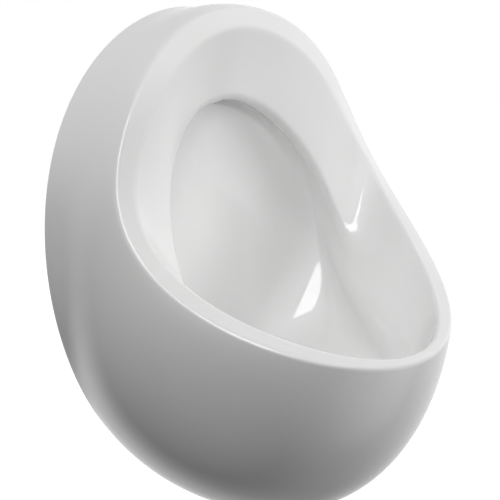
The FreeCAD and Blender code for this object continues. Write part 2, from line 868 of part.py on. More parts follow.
def outlet():
    """The waste pipe, wider where it enters the wall, with its sealing ring and nut."""
    bore, pipe, spigot = dim.outlet_radius - dim.outlet_wall, dim.outlet_radius, dim.outlet_spigot_radius
    start = -dim.outlet_into_wall
    end = dim.drain_depth - dim.trap_radius - 2.0
    turned(
        "outlet_pipe", outlet_axis,
        [(bore, start), (pipe, start), (pipe, 0.0), (spigot, 0.0), (spigot, end), (bore, end)],
    )
    lip = dim.socket_end - 3.0
    collar("outlet_seal", outlet_axis, spigot + 0.05, dim.socket_radius - 0.5, lip, dim.socket_end)
    bottom = lip - 3.0
    nut_bore = spigot + 0.4
    turned(
        "outlet_nut", outlet_axis,
        [
            (nut_bore, bottom), (dim.outlet_nut_radius - 1.5, bottom),
            (dim.outlet_nut_radius, bottom + 1.5), (dim.outlet_nut_radius, bottom + dim.outlet_nut_length),
            (dim.socket_radius + dim.thread_gap, bottom + dim.outlet_nut_length),
            (dim.socket_radius + dim.thread_gap, lip), (nut_bore, lip),
        ],
    )


def insert(rim):
    """The lift-out dip tube, with the groove for its sealing ring."""
    low = rim + dim.thread_gap
    top = low + dim.insert_flange_gauge
    shoulder = dim.waste_bore_radius - dim.seat_gap
    groove = shoulder - dim.ring_groove_depth
    groove_top = rim - 6.0
    groove_low = groove_top - dim.ring_thickness - 0.2
    collar_end = groove_low - 4.0
    tube, bore = dim.dip_tube_radius, dim.dip_tube_radius - dim.dip_tube_wall
    turned(
        "trap_insert", drain_axis,
        [
            (bore, dim.dip_tube_bottom), (tube, dim.dip_tube_bottom), (tube, collar_end),
            (shoulder, collar_end), (shoulder, groove_low), (groove, groove_low),
            (groove, groove_top), (shoulder, groove_top), (shoulder, low),
            (dim.insert_flange_radius, low), (dim.insert_flange_radius, top - 1.0),
            (dim.insert_flange_radius - 1.0, top), (bore, top),
        ],
    )
    collar(
        "insert_ring", drain_axis, groove + 0.05, dim.waste_bore_radius - 0.05,
        groove_low + 0.1, groove_low + 0.1 + dim.ring_thickness,
    )
    return top


def strainer(seat):
    """A shallow dome with round holes and a skirt inside the dip tube."""
    low = seat + dim.thread_gap
    gauge, rise, edge = dim.strainer_gauge, dim.strainer_rise, dim.strainer_radius
    skirt = dim.dip_tube_radius - dim.dip_tube_wall - dim.seat_gap
    body = turned(
        "strainer", drain_axis,
        [
            (0.0, low + rise), (edge * 0.4, low + rise * 0.9), (edge * 0.75, low + rise * 0.5),
            (edge, low + gauge * 0.5), (edge, low), (skirt, low), (skirt, low - 8.0),
            (skirt - 1.5, low - 8.0), (skirt - 1.5, low + rise * 0.9 - gauge), (0.0, low + rise - gauge),
        ],
    )
    drill_circle(body, "strainer_middle_hole", as_size(0.0), 1)
    drill_circle(body, "strainer_holes", dim.strainer_circle, 6)
    return body


def drill_circle(body, name, circle, count):
    """Round holes down through a turned body, evenly spaced on one circle."""
    sketch = body.newObject("Sketcher::SketchObject", name + "_sketch")
    plane = [face for face in body.Origin.OriginFeatures if face.Role == "XY_Plane"][0]
    sketch.AttachmentSupport = (plane, [""])
    sketch.MapMode = "FlatFace"
    radius = dim.strainer_hole_radius
    sketch.addGeometry(Part.Circle(vector(circle.value, 0, 0), vector(0, 0, 1), radius.value), False)
    drive = sketch.addConstraint(Sketcher.Constraint("Radius", 0, radius.value))
    sketch.setExpression("Constraints[%d]" % drive, radius.text)
    across = sketch.addConstraint(Sketcher.Constraint("DistanceX", -1, 1, 0, 3, circle.value))
    sketch.setExpression("Constraints[%d]" % across, circle.text)
    sketch.addConstraint(Sketcher.Constraint("DistanceY", -1, 1, 0, 3, 0.0))
    hole = body.newObject("PartDesign::Pocket", name)
    hole.Profile = sketch
    hole.Type = "ThroughAll"
    hole.Midplane = True
    sketch.Visibility = False
    if count == 1:
        return hole
    ring = body.newObject("PartDesign::PolarPattern", name + "_circle")
    ring.Originals = [hole]
    ring.Axis = (sketch, ["N_Axis"])
    ring.Angle = 360.0
    ring.Occurrences = count
    body.Tip = ring
    return ring


# ---------------------------------------------------------------- flush inlet
def spreader():
    """A flat fan nozzle hidden under the crease, on a threaded neck."""
    seat = dim.spreader_seat
    head_top = seat - dim.gasket_gauge
    head_low = head_top - dim.spreader_head_height
    half = dim.spreader_length * HALF
    deep = dim.spreader_thickness * HALF
    front, back = -(dim.spreader_depth + deep), -(dim.spreader_depth - deep)
    head = box("spreader_head", (-half, half), (front, back), (head_low, head_top))
    thread_top = dim.inlet_level - 14.0
    neck = rod("spreader_neck", spreader_axis, dim.spreader_neck_radius, head_low + 1.0, thread_top)
    bore = rod(
        "spreader_bore", spreader_axis, dim.spreader_bore_radius, head_low + 2.0, thread_top + 1.0
    )
    jets = []
    pitch = dim.spreader_length * 0.14
    for index in range(-3, 4):
        middle = pitch * float(index)
        reach = dim.jet_width * HALF
        jets.append(
            box(
                "jet_%d" % (index + 4), (middle - reach, middle + reach),
                (front + 2.0, back - 2.0), (head_low - 1.0, head_low + 3.0),
            )
        )
    duct = box(
        "spreader_duct", (-half + 2.0, half - 2.0), (front + 3.0, back - 3.0),
        (head_low + 2.0, head_top - 1.2),
    )
    body = cut("spreader_body", fuse("spreader_solid", [head, neck]), [bore, duct] + jets)
    named(body, "spreader_body")
    sheet = box(
        "spreader_gasket_sheet", (-half + 1.0, half - 1.0), (front + 0.5, back - 0.5), (head_top, seat)
    )
    sheet_hole = rod(
        "spreader_gasket_hole", spreader_axis, dim.spreader_neck_radius + 0.1, head_top - 1.0, seat + 1.0
    )
    named(cut("spreader_gasket", sheet, [sheet_hole]), "spreader_gasket")
    top = dim.spreader_boss_top
    collar(
        "spreader_washer", spreader_axis, dim.spreader_neck_radius + 0.1,
        dim.locknut_radius, top, top + dim.gasket_gauge,
    )
    nut_low = top + dim.gasket_gauge
    block = hexagon("locknut_block", spreader_axis, dim.locknut_radius, nut_low, nut_low + dim.locknut_height)
    hole = rod(
        "locknut_hole", spreader_axis, dim.spreader_neck_radius + dim.thread_gap,
        nut_low - 1.0, nut_low + dim.locknut_height + 1.0,
    )
    named(cut("spreader_locknut", block, [hole]), "spreader_locknut")


def inlet():
    """The elbow from the wall down to the spreader, its union nut and its nipple."""
    outer, bore = dim.inlet_tube_radius, dim.inlet_bore_radius
    depth, level = dim.spreader_depth, dim.inlet_level
    union_front = dim.union_nut_length + 8.0
    drop_low = level - 20.0
    drop = rod("elbow_drop", spreader_axis, outer, drop_low, level)
    run = rod("elbow_run", inlet_axis, outer, 10.0, depth)
    knee = doc.addObject("Part::Sphere", "elbow_knee")
    bind(knee, "Radius", outer)
    Station(0.0, -depth, level).place(knee)
    flange = rod("elbow_flange", inlet_axis, dim.union_nut_radius - 3.0, 10.0, 12.0)
    drop_bore = rod(
        "elbow_drop_bore", spreader_axis, dim.spreader_neck_radius + dim.thread_gap, drop_low - 1.0, level
    )
    run_bore = rod("elbow_run_bore", inlet_axis, bore, 9.0, depth)
    hollow = doc.addObject("Part::Sphere", "elbow_hollow")
    bind(hollow, "Radius", bore)
    Station(0.0, -depth, level).place(hollow)
    elbow = cut(
        "inlet_elbow", fuse("elbow_solid", [drop, run, knee, flange]), [drop_bore, run_bore, hollow]
    )
    named(elbow, "inlet_elbow")
    collar("inlet_seal", inlet_axis, bore, dim.inlet_nipple_radius - 0.4, 8.5, 9.95)
    nipple = dim.inlet_nipple_radius
    turned(
        "inlet_nipple", inlet_axis,
        [
            (bore, -dim.inlet_into_wall), (nipple, -dim.inlet_into_wall), (nipple, 0.0),
            (nipple + 3.5, 0.0), (nipple + 3.5, 1.5), (nipple, 1.5), (nipple, 8.45), (bore, 8.45),
        ],
    )
    shoulder = outer + 0.3
    turned(
        "inlet_union_nut", inlet_axis,
        [
            (nipple + dim.thread_gap, 2.0), (dim.union_nut_radius, 2.0),
            (dim.union_nut_radius, union_front - 5.0), (shoulder, union_front - 5.0),
            (shoulder, 12.1), (dim.union_nut_radius - 2.7, 12.1), (dim.union_nut_radius - 2.7, 8.4),
            (nipple + dim.thread_gap, 8.4),
        ],
    )


# ---------------------------------------------------------------- assembly
ceramic()
right_hanger = named(hanger(), "wall_hanger_right")
named(mirrored("wall_hanger_left", right_hanger), "wall_hanger_left")
pair("hanger_pads", hanger_pad())
pair("hanger_screws", coach_screw("hanger_screw", hanger_axis))
pair("hanger_washers", flat_washer("hanger_washer", hanger_axis))
foot_bracket()
pair("foot_screws", coach_screw("foot_screw", foot_axis))
pair("foot_washers", flat_washer("foot_washer", foot_axis))
locking_set()
rim_level, under_level = waste_fitting()
trap_housing(under_level)
outlet()
flange_top = insert(rim_level)
strainer(flange_top)
spreader()
inlet()
doc.recompute()

failed = [
    item.Name for item in doc.Objects
    if any(state in item.State for state in ("Invalid", "Error"))
]
for node in nodes:
    if node.Shape.isNull() or not node.Shape.isValid() or not node.Shape.Solids:
        failed.append(node.Label)
if failed:
    raise RuntimeError("not built: " + ", ".join(failed))

os.makedirs("parts", exist_ok=True)
for node in nodes:
    node.Shape.exportStep("parts/%s.step" % node.Label)
    print(node.Label, len(node.Shape.Solids), round(node.Shape.Volume), node.Shape.BoundBox)
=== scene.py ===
import bpy
import bmesh
import numpy as np
from math import cos, pi, radians, sin
from mathutils import Matrix, Vector


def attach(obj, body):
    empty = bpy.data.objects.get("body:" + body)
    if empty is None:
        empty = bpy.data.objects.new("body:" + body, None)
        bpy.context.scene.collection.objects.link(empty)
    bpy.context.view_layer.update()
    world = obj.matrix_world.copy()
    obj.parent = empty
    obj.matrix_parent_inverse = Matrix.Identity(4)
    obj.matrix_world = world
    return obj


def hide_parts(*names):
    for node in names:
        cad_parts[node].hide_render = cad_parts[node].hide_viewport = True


# A wall hung urinal in white glazed ceramic, with the fixings, flush inlet and trap behind it.
# The wall is the plane Y = 0 and the bowl opens towards -Y. Sizes are in millimetres, and each
# mesh is turned into metres when it is made.

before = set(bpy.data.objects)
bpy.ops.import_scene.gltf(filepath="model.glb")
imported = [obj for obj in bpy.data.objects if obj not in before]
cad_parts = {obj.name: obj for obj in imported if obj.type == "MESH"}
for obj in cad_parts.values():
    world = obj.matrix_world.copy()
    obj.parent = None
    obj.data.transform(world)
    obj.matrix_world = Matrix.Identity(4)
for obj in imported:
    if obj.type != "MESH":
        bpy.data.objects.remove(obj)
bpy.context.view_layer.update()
MM = 0.001

# ---- driving sizes of the ceramic
# outline on the wall
OUTLINE_WIDTH = 358.0
OUTLINE_HEIGHT = 500.0
OUTLINE_CENTRE = -122.0
OUTLINE_TOP_TAPER = 22.0
OUTLINE_FULLNESS = 3.0
# outer edge of the rim, seen from the front, and how far it stands off the wall
RIM_INSET = 5.0
RIM_HEIGHT = 308.0
RIM_CENTRE = -16.0
RIM_TAPER = -32.0
RIM_FULLNESS = 22.0
RIM_DEPTH_TOP = 75.0
LIP_DEPTH = 340.0
RIM_HOLLOW = -404.0
RIM_SWEEP = 295.0
# the outer surface's straight runs off the wall and up to the rim, in shares of the depth, and
# its slopes there in degrees, each for powers of "low"
LEAVING, LEAST_LEAVING = {0: 0.35, 1: -0.27, 3: -0.13}, 0.02
ARRIVING = {0: 0.35, 2: 0.48, 4: 0.08}
FLARE = {2: 7.0, 4: 28.0}
BELLY = {0: 7.0, 1: -4.0, 2: -3.0, 3: 77.6}
# inner edge of the rim
BAND_SIDE = 17.0
BAND_HEIGHT = 12.0
BAND_DROP = 6.5
BAND_SLOPE = 7.0
BAND_SHIFT = 10.0
OUTER_ROUNDING = 5.0
INNER_ROUNDING = 4.0
# crease where the funnel of the bowl meets its back wall
CREASE_WIDTH = 222.0
CREASE_TAPER = 0.075
CREASE_HEIGHT = 269.0
CREASE_CENTRE = -95.0
CREASE_DEPTH = 71.5
CREASE_SLOPE = 106.5
CREASE_FRONT = 121.5
CREASE_FRONT_POWER = 7
# the nose over the crease, its recess, and where it fades into the side of the bowl
RECESS_DEPTH = 38.0
RECESS_RUN = 90.0
RECESS_SPREAD = 14.0
RECESS_RISE = 4.0
RECESS_STEP = 1.0
RECESS_DROP = 2.0
NOSE_FADE = radians(85.0)
NOSE_END = radians(140.0)
NOSE_ROUNDING = 12.0
RECESS_ROUNDING = 16.0
FRONT_ROUNDING = 50.0
NOSE_SHARE, FRONT_SHARE = 0.08, 0.24
BACK_DROP = 95.0
FRONT_DROP = 8.0
BACK_LEAN = 8.0
FLOOR_REACH = 76.0
FLOOR_FRONT = 20.0
FLOOR_FALL = 8.0
CERAMIC_WALL = 10.0
BACK_FLANGE = 14.0
WALL_EDGE = 2.5
# where the back of the ceramic follows its front, in shares along bowl, funnel and skin, and how
# many wall thicknesses it lies deeper and further out than the recess
BEHIND_BOWL, BEHIND_NOSE = (0.78, 0.15), 0.03
BEHIND_FUNNEL, BEHIND_RIM = (0.35, 0.55), (0.90, -0.04)
BEHIND_RECESS = 0.9, 1.1
# drain
DRAIN_DEPTH = 135.0
DRAIN_FLOOR = -250.0
DRAIN_CERAMIC = 12.0
DRAIN_HOLE_RADIUS = 24.0
DRAIN_SEAT_RADIUS = 34.0
DRAIN_UNDER_RADIUS = 42.0
DRAIN_EDGE = 2.0

COLUMNS = 288
TINY = 0.001


# ---- meshes
def link(name, mesh):
    piece = bpy.data.objects.new(name, mesh)
    bpy.context.scene.collection.objects.link(piece)
    return piece


def mesh_piece(name, points, faces):
    """A piece from points in millimetres, with smooth faces."""
    mesh = bpy.data.meshes.new(name)
    mesh.from_pydata((np.asarray(points, float) * MM).tolist(), [], faces)
    mesh.validate()
    mesh.shade_smooth()
    return link(name, mesh)


def ring_faces(count, around, closed):
    """The faces between rings of points, and between the last ring and the first if closed."""
    faces = []
    for row in range(count if closed else count - 1):
        here, below = row * around, (row + 1) % count * around
        for column in range(around):
            beside = (column + 1) % around
            faces.append((here + column, here + beside, below + beside, below + column))
    return faces


def closed_grid(name, rows):
    """A closed skin through rings of points, the last ring joined to the first."""
    rows = np.asarray(rows)
    faces = ring_faces(rows.shape[0], rows.shape[1], True)
    return mesh_piece(name, rows.reshape(-1, 3), faces)


# ---- ceramic surfaces
# Every ring of the ceramic is a closed curve in one angle: 0 is the top, pi the lip.
# "low" runs from 0 at the top of a ring to 1 at its lowest point.

ANGLES = np.arange(COLUMNS) * (2 * pi / COLUMNS)
UP = np.array([0.0, 0.0, 1.0])
INTO_WALL = np.array([0.0, 1.0, 0.0])


def point(x, y, z):
    return np.stack(np.broadcast_arrays(x, y, z), -1).astype(float)


def unit(vectors):
    return vectors / np.linalg.norm(vectors, axis=-1, keepdims=True)


def lowness(angle):
    return (1 - np.cos(angle)) / 2


def rim_offset(low):
    """How far the rim's outer edge stands off the wall."""
    sweep = RIM_HOLLOW + RIM_SWEEP * (1 - 2 * low)
    return RIM_DEPTH_TOP + (LIP_DEPTH - RIM_DEPTH_TOP) * low + sweep * low * (1 - low)


def wall_ring(angle):
    c = np.cos(angle)
    half = OUTLINE_WIDTH / 2 + OUTLINE_TOP_TAPER * c + OUTLINE_FULLNESS * c * c
    return point(half * np.sin(angle), 0, OUTLINE_CENTRE + OUTLINE_HEIGHT / 2 * c)


def rim_ring(angle):
    c = np.cos(angle)
    half = OUTLINE_WIDTH / 2 - RIM_INSET + RIM_TAPER * c + RIM_FULLNESS * c * c
    height = RIM_CENTRE + RIM_HEIGHT / 2 * c
    return point(half * np.sin(angle), -rim_offset(lowness(angle)), height)


def inner_ring(angle):
    c = np.cos(angle)
    half = OUTLINE_WIDTH / 2 - RIM_INSET - BAND_SIDE + RIM_TAPER * c + BAND_SHIFT * c ** 3
    height = RIM_CENTRE - BAND_DROP + (RIM_HEIGHT / 2 - BAND_HEIGHT) * c
    top = RIM_CENTRE + RIM_HEIGHT / 2
    depth = rim_offset((top - height) / RIM_HEIGHT) + BAND_SLOPE
    return point(half * np.sin(angle), -depth, height)


def crease_ring(angle):
    low = lowness(angle)
    depth = CREASE_DEPTH + CREASE_SLOPE * low + CREASE_FRONT * low ** CREASE_FRONT_POWER
    height = CREASE_CENTRE + CREASE_HEIGHT / 2 * np.cos(angle)
    half = CREASE_WIDTH / 2 * (1 - CREASE_TAPER * np.cos(angle))
    return point(half * np.sin(angle), -depth, height)


def overhang(angle):
    """1 under the top of the crease, fading to 0 below its sides."""
    along = np.clip((NOSE_END - np.arccos(np.cos(angle))) / (NOSE_END - NOSE_FADE), 0, 1)
    return along * along * (3 - 2 * along)


def recess_ring(angle):
    share = overhang(angle)[..., None]
    low = lowness(angle)[..., None]
    crease = crease_ring(angle)
    deep = -(RECESS_DEPTH + RECESS_RUN * low) - crease[..., 1:2]
    back = INTO_WALL * (deep * share + RECESS_STEP * (1 - share))
    out = outward(crease_ring, angle) * (RECESS_SPREAD * 4 * low * (1 - low) * share)
    rise = RECESS_RISE * (1 - low) * share - RECESS_DROP * (1 - share)
    return crease + back + out + UP * rise


def drain_ring(angle, radius=DRAIN_SEAT_RADIUS, level=DRAIN_FLOOR):
    return point(radius * np.sin(angle), radius * np.cos(angle) - DRAIN_DEPTH, level)


def outward(ring, angle):
    """The direction away from the middle of a ring, seen from the front."""
    step = ring(angle + TINY) - ring(angle - TINY)
    return unit(point(-step[..., 2], 0, step[..., 0]))


def bezier(corners, along):
    rest = 1 - along
    return (
        corners[0] * rest ** 3
        + corners[1] * (3 * rest * rest * along)
        + corners[2] * (3 * rest * along * along)
        + corners[3] * along ** 3
    )


def series(terms, low):
    return sum(share * low ** power for power, share in terms.items())


def arrival(low, depth):
    """How long the outer surface runs straight before it meets the rim."""
    return series(ARRIVING, low) * depth


def skin(angle, along):
    """The outer surface, from the wall (0) to the rim's outer edge (1)."""
    low = lowness(angle)[..., None]
    wall, rim = wall_ring(angle), rim_ring(angle)
    depth = -rim[..., 1:2]
    leave = np.maximum(LEAST_LEAVING, series(LEAVING, low)) * depth
    arrive = arrival(low, depth)
    flare, belly = np.radians(series(FLARE, low)), np.radians(series(BELLY, low))
    start = wall + outward(wall_ring, angle) * (leave * np.sin(flare))
    start = start - INTO_WALL * leave * np.cos(flare)
    end = rim + outward(rim_ring, angle) * (arrive * np.sin(belly))
    end = end + INTO_WALL * arrive * np.cos(belly)
    return bezier((wall, start, end, rim), along)


def funnel(angle, along):
    """The sloping side of the bowl, from the rim's inner edge to the crease."""
    return inner_ring(angle) * (1 - along) + crease_ring(angle) * along


def bowl(angle, along):
    """The back wall and floor of the bowl, from below the crease to the drain."""
    low = lowness(angle)[..., None]
    drain = drain_ring(angle)
    top = recess_ring(angle)
    drop = BACK_DROP * (1 - low) + FRONT_DROP * low
    below = top - INTO_WALL * BACK_LEAN * (1 - low) ** 2 - UP * drop
    spread = point(np.sin(angle), np.cos(angle), 0)
    beside = drain + spread * (FLOOR_REACH + FLOOR_FRONT * low) + UP * FLOOR_FALL
    return bezier((top, below, beside, drain), along)


def inside(surface, along):
    """The points a wall's thickness into the ceramic behind a surface."""
    across = surface(ANGLES + TINY, along) - surface(ANGLES - TINY, along)
    low, high = np.maximum(0.0, along - TINY), np.minimum(1.0, along + TINY)
    normal = unit(np.cross(across, surface(ANGLES, high) - surface(ANGLES, low)))
    return surface(ANGLES, along) + normal * CERAMIC_WALL


def toward(start, end, distance):
    return start + unit(end - start) * distance


def rounding(before, edge, after, along):
    """A point on the arc that leaves one point towards an edge and arrives at another."""
    rest = 1 - along
    return before * rest ** 2 + edge * (2 * rest * along) + after * along ** 2


def arc(before, edge, after, count):
    """Rows of a rounded edge between two rings beside it, ends left out."""
    return [rounding(before, edge, after, along) for along in np.linspace(0, 1, count + 2)[1:-1]]


def smooth_join(before, before_way, after, after_way, reach, count):
    """Rows of a curve that leaves one ring and meets another along given directions."""
    span = np.linalg.norm(after - before, axis=-1, keepdims=True) * reach
    corners = (before, before + unit(before_way) * span, after - unit(after_way) * span, after)
    return [bezier(corners, along) for along in np.linspace(0, 1, count + 2)[1:-1]]


def straight(start, end, count):
    """Rows from one ring to another, both ends kept."""
    return [start * (1 - along) + end * along for along in np.linspace(0, 1, count)]


def ceramic_rows():
    """Rings from the wall over the rim, down the bowl, through the drain and back behind."""
    wall, rim, inner, crease = (
        ring(ANGLES) for ring in (wall_ring, rim_ring, inner_ring, crease_ring)
    )
    low = lowness(ANGLES)[..., None]
    rim_share = 1 - OUTER_ROUNDING / (3 * arrival(low, -rim[..., 1:2]))
    rows = []
    glazed = []

    def add(new_rows, is_glazed=True):
        rows.extend(new_rows)
        glazed.extend([is_glazed] * len(new_rows))

    skin_start = WALL_EDGE / OUTLINE_WIDTH * 2
    skin_rows = [skin(ANGLES, rim_share * t) for t in np.linspace(skin_start, 1, 72)]
    flat_edge = toward(wall, wall - outward(wall_ring, ANGLES) * BACK_FLANGE, WALL_EDGE)
    add([flat_edge], False)
    add(arc(flat_edge, wall, skin_rows[0], 4))
    add(skin_rows)
    band_outer = toward(rim, inner, INNER_ROUNDING)
    band_inner = toward(inner, rim, INNER_ROUNDING)
    funnel_edge = toward(inner, crease, OUTER_ROUNDING)
    add(arc(skin_rows[-1], rim, band_outer, 9))
    add(straight(band_outer, band_inner, 5))
    add(arc(band_inner, inner, funnel_edge, 9))
    share = overhang(ANGLES)[..., None]
    nose_before = toward(crease, inner, NOSE_ROUNDING + FRONT_ROUNDING * (1 - share))
    nose_share = NOSE_SHARE + FRONT_SHARE * (1 - share)
    nose_after = bowl(ANGLES, nose_share)
    leaving = bowl(ANGLES, nose_share + TINY) - nose_after
    add(straight(funnel_edge, nose_before, 20))
    faded = smooth_join(nose_before, crease - inner, nose_after, leaving, 0.45, 30)
    recess = recess_ring(ANGLES)
    flank = np.linalg.norm(recess - crease, axis=-1, keepdims=True)
    nose_side = toward(crease, recess, np.minimum(NOSE_ROUNDING, flank * 0.4))
    recess_side = toward(recess, crease, np.minimum(RECESS_ROUNDING, flank * 0.4))
    sharp = arc(nose_before, crease, nose_side, 10) + straight(nose_side, recess_side, 8)
    sharp += arc(recess_side, recess, nose_after, 12)
    add([over * share + soft * (1 - share) for over, soft in zip(sharp, faded)])
    add([bowl(ANGLES, nose_share + (1 - nose_share) * t) for t in np.linspace(0.0, 1.0, 72)])
    edge = DRAIN_HOLE_RADIUS + DRAIN_EDGE
    under = DRAIN_FLOOR - DRAIN_CERAMIC
    hole_top = drain_ring(ANGLES, DRAIN_HOLE_RADIUS, DRAIN_FLOOR - DRAIN_EDGE)
    hole_bottom = drain_ring(ANGLES, DRAIN_HOLE_RADIUS, under)
    add([drain_ring(ANGLES, (DRAIN_SEAT_RADIUS + edge) / 2), drain_ring(ANGLES, edge)])
    add(arc(drain_ring(ANGLES, edge), drain_ring(ANGLES, DRAIN_HOLE_RADIUS), hole_top, 3))
    add([hole_top], False)
    add([hole_bottom, drain_ring(ANGLES, DRAIN_UNDER_RADIUS, under)], False)
    deep = [inside(bowl, t) for t in np.linspace(*BEHIND_BOWL, 18)]
    add(deep, False)
    beside = inside(bowl, BEHIND_NOSE)
    out = outward(crease_ring, ANGLES) * BEHIND_RECESS[1]
    above = recess_ring(ANGLES) + (INTO_WALL * BEHIND_RECESS[0] + out) * CERAMIC_WALL
    add([beside * (1 - share) + above * share], False)
    return rows, glazed


def ceramic_shell():
    rows, glazed = ceramic_rows()
    angle_share = BEHIND_FUNNEL[0] + BEHIND_FUNNEL[1] * lowness(ANGLES)

    def behind_funnel(part):
        along = angle_share + (1 - angle_share) * part
        return inside(funnel, along[..., None])

    rows.append(behind_funnel(0.8))
    rows.append(behind_funnel(0.0))
    skin_share = (BEHIND_RIM[0] + BEHIND_RIM[1] * lowness(ANGLES))[..., None]
    for t in np.linspace(1.0, 0.2, 26):
        rows.append(inside(skin, t * skin_share))
    rows.append(wall_ring(ANGLES) - outward(wall_ring, ANGLES) * BACK_FLANGE)
    glazed += [False] * (len(rows) - len(glazed))
    piece = closed_grid("ceramic", rows)
    return piece, glazed


# ---- materials
def empty_tree(owner):
    owner.use_nodes = True
    owner.node_tree.nodes.clear()
    return owner.node_tree


def noise(tree, place, scale, detail):
    node = tree.nodes.new("ShaderNodeTexNoise")
    node.inputs["Scale"].default_value = scale
    node.inputs["Detail"].default_value = detail
    tree.links.new(place, node.inputs["Vector"])
    return node.outputs["Fac"]


def ramp(tree, factor, low, high, start=0.3, end=0.7):
    node = tree.nodes.new("ShaderNodeValToRGB")
    node.color_ramp.elements[0].position = start
    node.color_ramp.elements[1].position = end
    node.color_ramp.elements[0].color = low
    node.color_ramp.elements[1].color = high
    tree.links.new(factor, node.inputs["Fac"])
    return node.outputs["Color"]


def grey(level, warmth=0.0):
    return (level, level * (1 - warmth / 2), level * (1 - warmth), 1.0)


def textured(name, colour, rough, grain, metallic=0.0, stretch=(1, 1, 1)):
    """A material from three noises, each with its scale and detail. Colour and roughness run
    between two values, and the grain has its depth in metres."""
    made = bpy.data.materials.new(name)
    tree = empty_tree(made)
    output = tree.nodes.new("ShaderNodeOutputMaterial")
    shader = tree.nodes.new("ShaderNodeBsdfPrincipled")
    tree.links.new(shader.outputs["BSDF"], output.inputs["Surface"])
    stretched = tree.nodes.new("ShaderNodeMapping")
    stretched.inputs["Scale"].default_value = stretch
    local = tree.nodes.new("ShaderNodeTexCoord").outputs["Object"]
    tree.links.new(local, stretched.inputs["Vector"])
    place = stretched.outputs["Vector"]
    patches = ramp(tree, noise(tree, place, *colour[:2]), *colour[2:])
    tree.links.new(patches, shader.inputs["Base Color"])
    uneven = tree.nodes.new("ShaderNodeMapRange")
    uneven.inputs["To Min"].default_value, uneven.inputs["To Max"].default_value = rough[2:]
    tree.links.new(noise(tree, place, *rough[:2]), uneven.inputs["Value"])
    tree.links.new(uneven.outputs["Result"], shader.inputs["Roughness"])
    relief = tree.nodes.new("ShaderNodeBump")
    relief.inputs["Strength"].default_value = 1.0
    relief.inputs["Distance"].default_value = grain[2]
    tree.links.new(noise(tree, place, *grain[:2]), relief.inputs["Height"])
    tree.links.new(relief.outputs["Normal"], shader.inputs["Normal"])
    shader.inputs["Metallic"].default_value = metallic
    return made


GLAZE = textured(
    "white_glaze", (9.0, 2.0, grey(0.80, 0.006), grey(0.82, 0.002)), (14.0, 2.0, 0.045, 0.075),
    (22.0, 1.0, 0.00018),
)
BISQUE = textured(
    "bare_ceramic", (60.0, 4.0, grey(0.66, 0.10), grey(0.74, 0.06)), (200.0, 2.0, 0.65, 0.85),
    (900.0, 3.0, 0.0002),
)

# name, colours of the darkest and lightest patches, metal share, patches per metre, roughness
# range, grains per metre and their depth in metres, and how far all three are stretched
UNEVENNESS = 2.3
FINISHES = {
    "galvanised": (
        "zinc_sheet", (0.50, 0.52, 0.54), (0.66, 0.68, 0.70), 1.0, 90.0, (0.34, 0.52), 700.0, 4e-5
    ),
    "screws": (
        "bright_zinc", (0.62, 0.62, 0.58), (0.72, 0.72, 0.70), 1.0, 160.0, (0.22, 0.38), 900.0, 2e-5
    ),
    "washers": (
        "zinc_washer", (0.62, 0.62, 0.61), (0.74, 0.74, 0.73), 1.0, 200.0, (0.26, 0.42), 900.0, 2e-5
    ),
    "stainless": (
        "satin_steel", (0.66, 0.66, 0.66), (0.76, 0.76, 0.76), 1.0, 60.0, (0.18, 0.32), 500.0, 2e-5,
        (1.0, 14.0, 14.0),
    ),
    "chrome": (
        "chrome_plate", (0.80, 0.81, 0.83), (0.88, 0.89, 0.91), 1.0, 70.0, (0.04, 0.12), 250.0, 1e-5
    ),
    "brass": (
        "plain_brass", (0.62, 0.46, 0.22), (0.78, 0.62, 0.34), 1.0, 110.0, (0.20, 0.36), 700.0, 2e-5
    ),
    "rubber": (
        "black_rubber", (0.018, 0.018, 0.018), (0.035, 0.035, 0.036), 0.0, 150.0, (0.5, 0.7),
        900.0, 6e-5,
    ),
    "pad": (
        "natural_nylon", (0.70, 0.70, 0.67), (0.80, 0.80, 0.77), 0.0, 80.0, (0.35, 0.5), 600.0, 4e-5
    ),
    "trap_plastic": (
        "white_moulding", (0.74, 0.74, 0.71), (0.82, 0.82, 0.80), 0.0, 30.0, (0.3, 0.45), 650.0, 5e-5
    ),
    "pipe_plastic": (
        "grey_pipe", (0.22, 0.23, 0.24), (0.28, 0.29, 0.30), 0.0, 25.0, (0.32, 0.46), 90.0, 6e-5,
        (8.0, 1.0, 8.0),
    ),
    "insert_plastic": (
        "pale_moulding", (0.60, 0.61, 0.63), (0.68, 0.69, 0.71), 0.0, 40.0, (0.18, 0.3), 500.0, 3e-5
    ),
}


def finish(name, low, high, metallic, mottle, rough, grain, depth, stretch=(1, 1, 1)):
    """A finish whose patches, unevenness and grain follow the scales of one row of the table."""
    colour = (mottle, 3.0, low + (1.0,), high + (1.0,))
    uneven = (mottle * UNEVENNESS, 3.0) + rough
    return textured(name, colour, uneven, (grain, 2.0, depth), metallic, stretch)


FINISH = {slot: finish(*row) for slot, row in FINISHES.items()}


# ---- pieces turned about an axis
# A station is an axis: "up" at (x, y), or "out" of the wall at (x, z). "Along" is the height on
# the first kind and the distance off the wall on the second.
SPREADER_DEPTH = 47.0
LOCK_DEPTH = 25.0
HANGER_X = 65.0
FOOT_X = 27.0
FOOT_LEVEL = -334.0
OUTLET_LEVEL = -300.0
INLET_LEVEL = 90.0
DRAIN = ("up", 0.0, -DRAIN_DEPTH)
SPREADER = ("up", 0.0, -SPREADER_DEPTH)
LOCK = ("up", 0.0, -LOCK_DEPTH)
OUTLET = ("out", 0.0, OUTLET_LEVEL)
INLET = ("out", 0.0, INLET_LEVEL)
TURNS = 72
STEEL = 3.0
STRIP_EDGE, FOLD_RADIUS = 0.5, 3.5
GASKET = 1.5
SHARP = radians(32.0)


def turns(columns=TURNS):
    return np.arange(columns) * (2 * pi / columns)


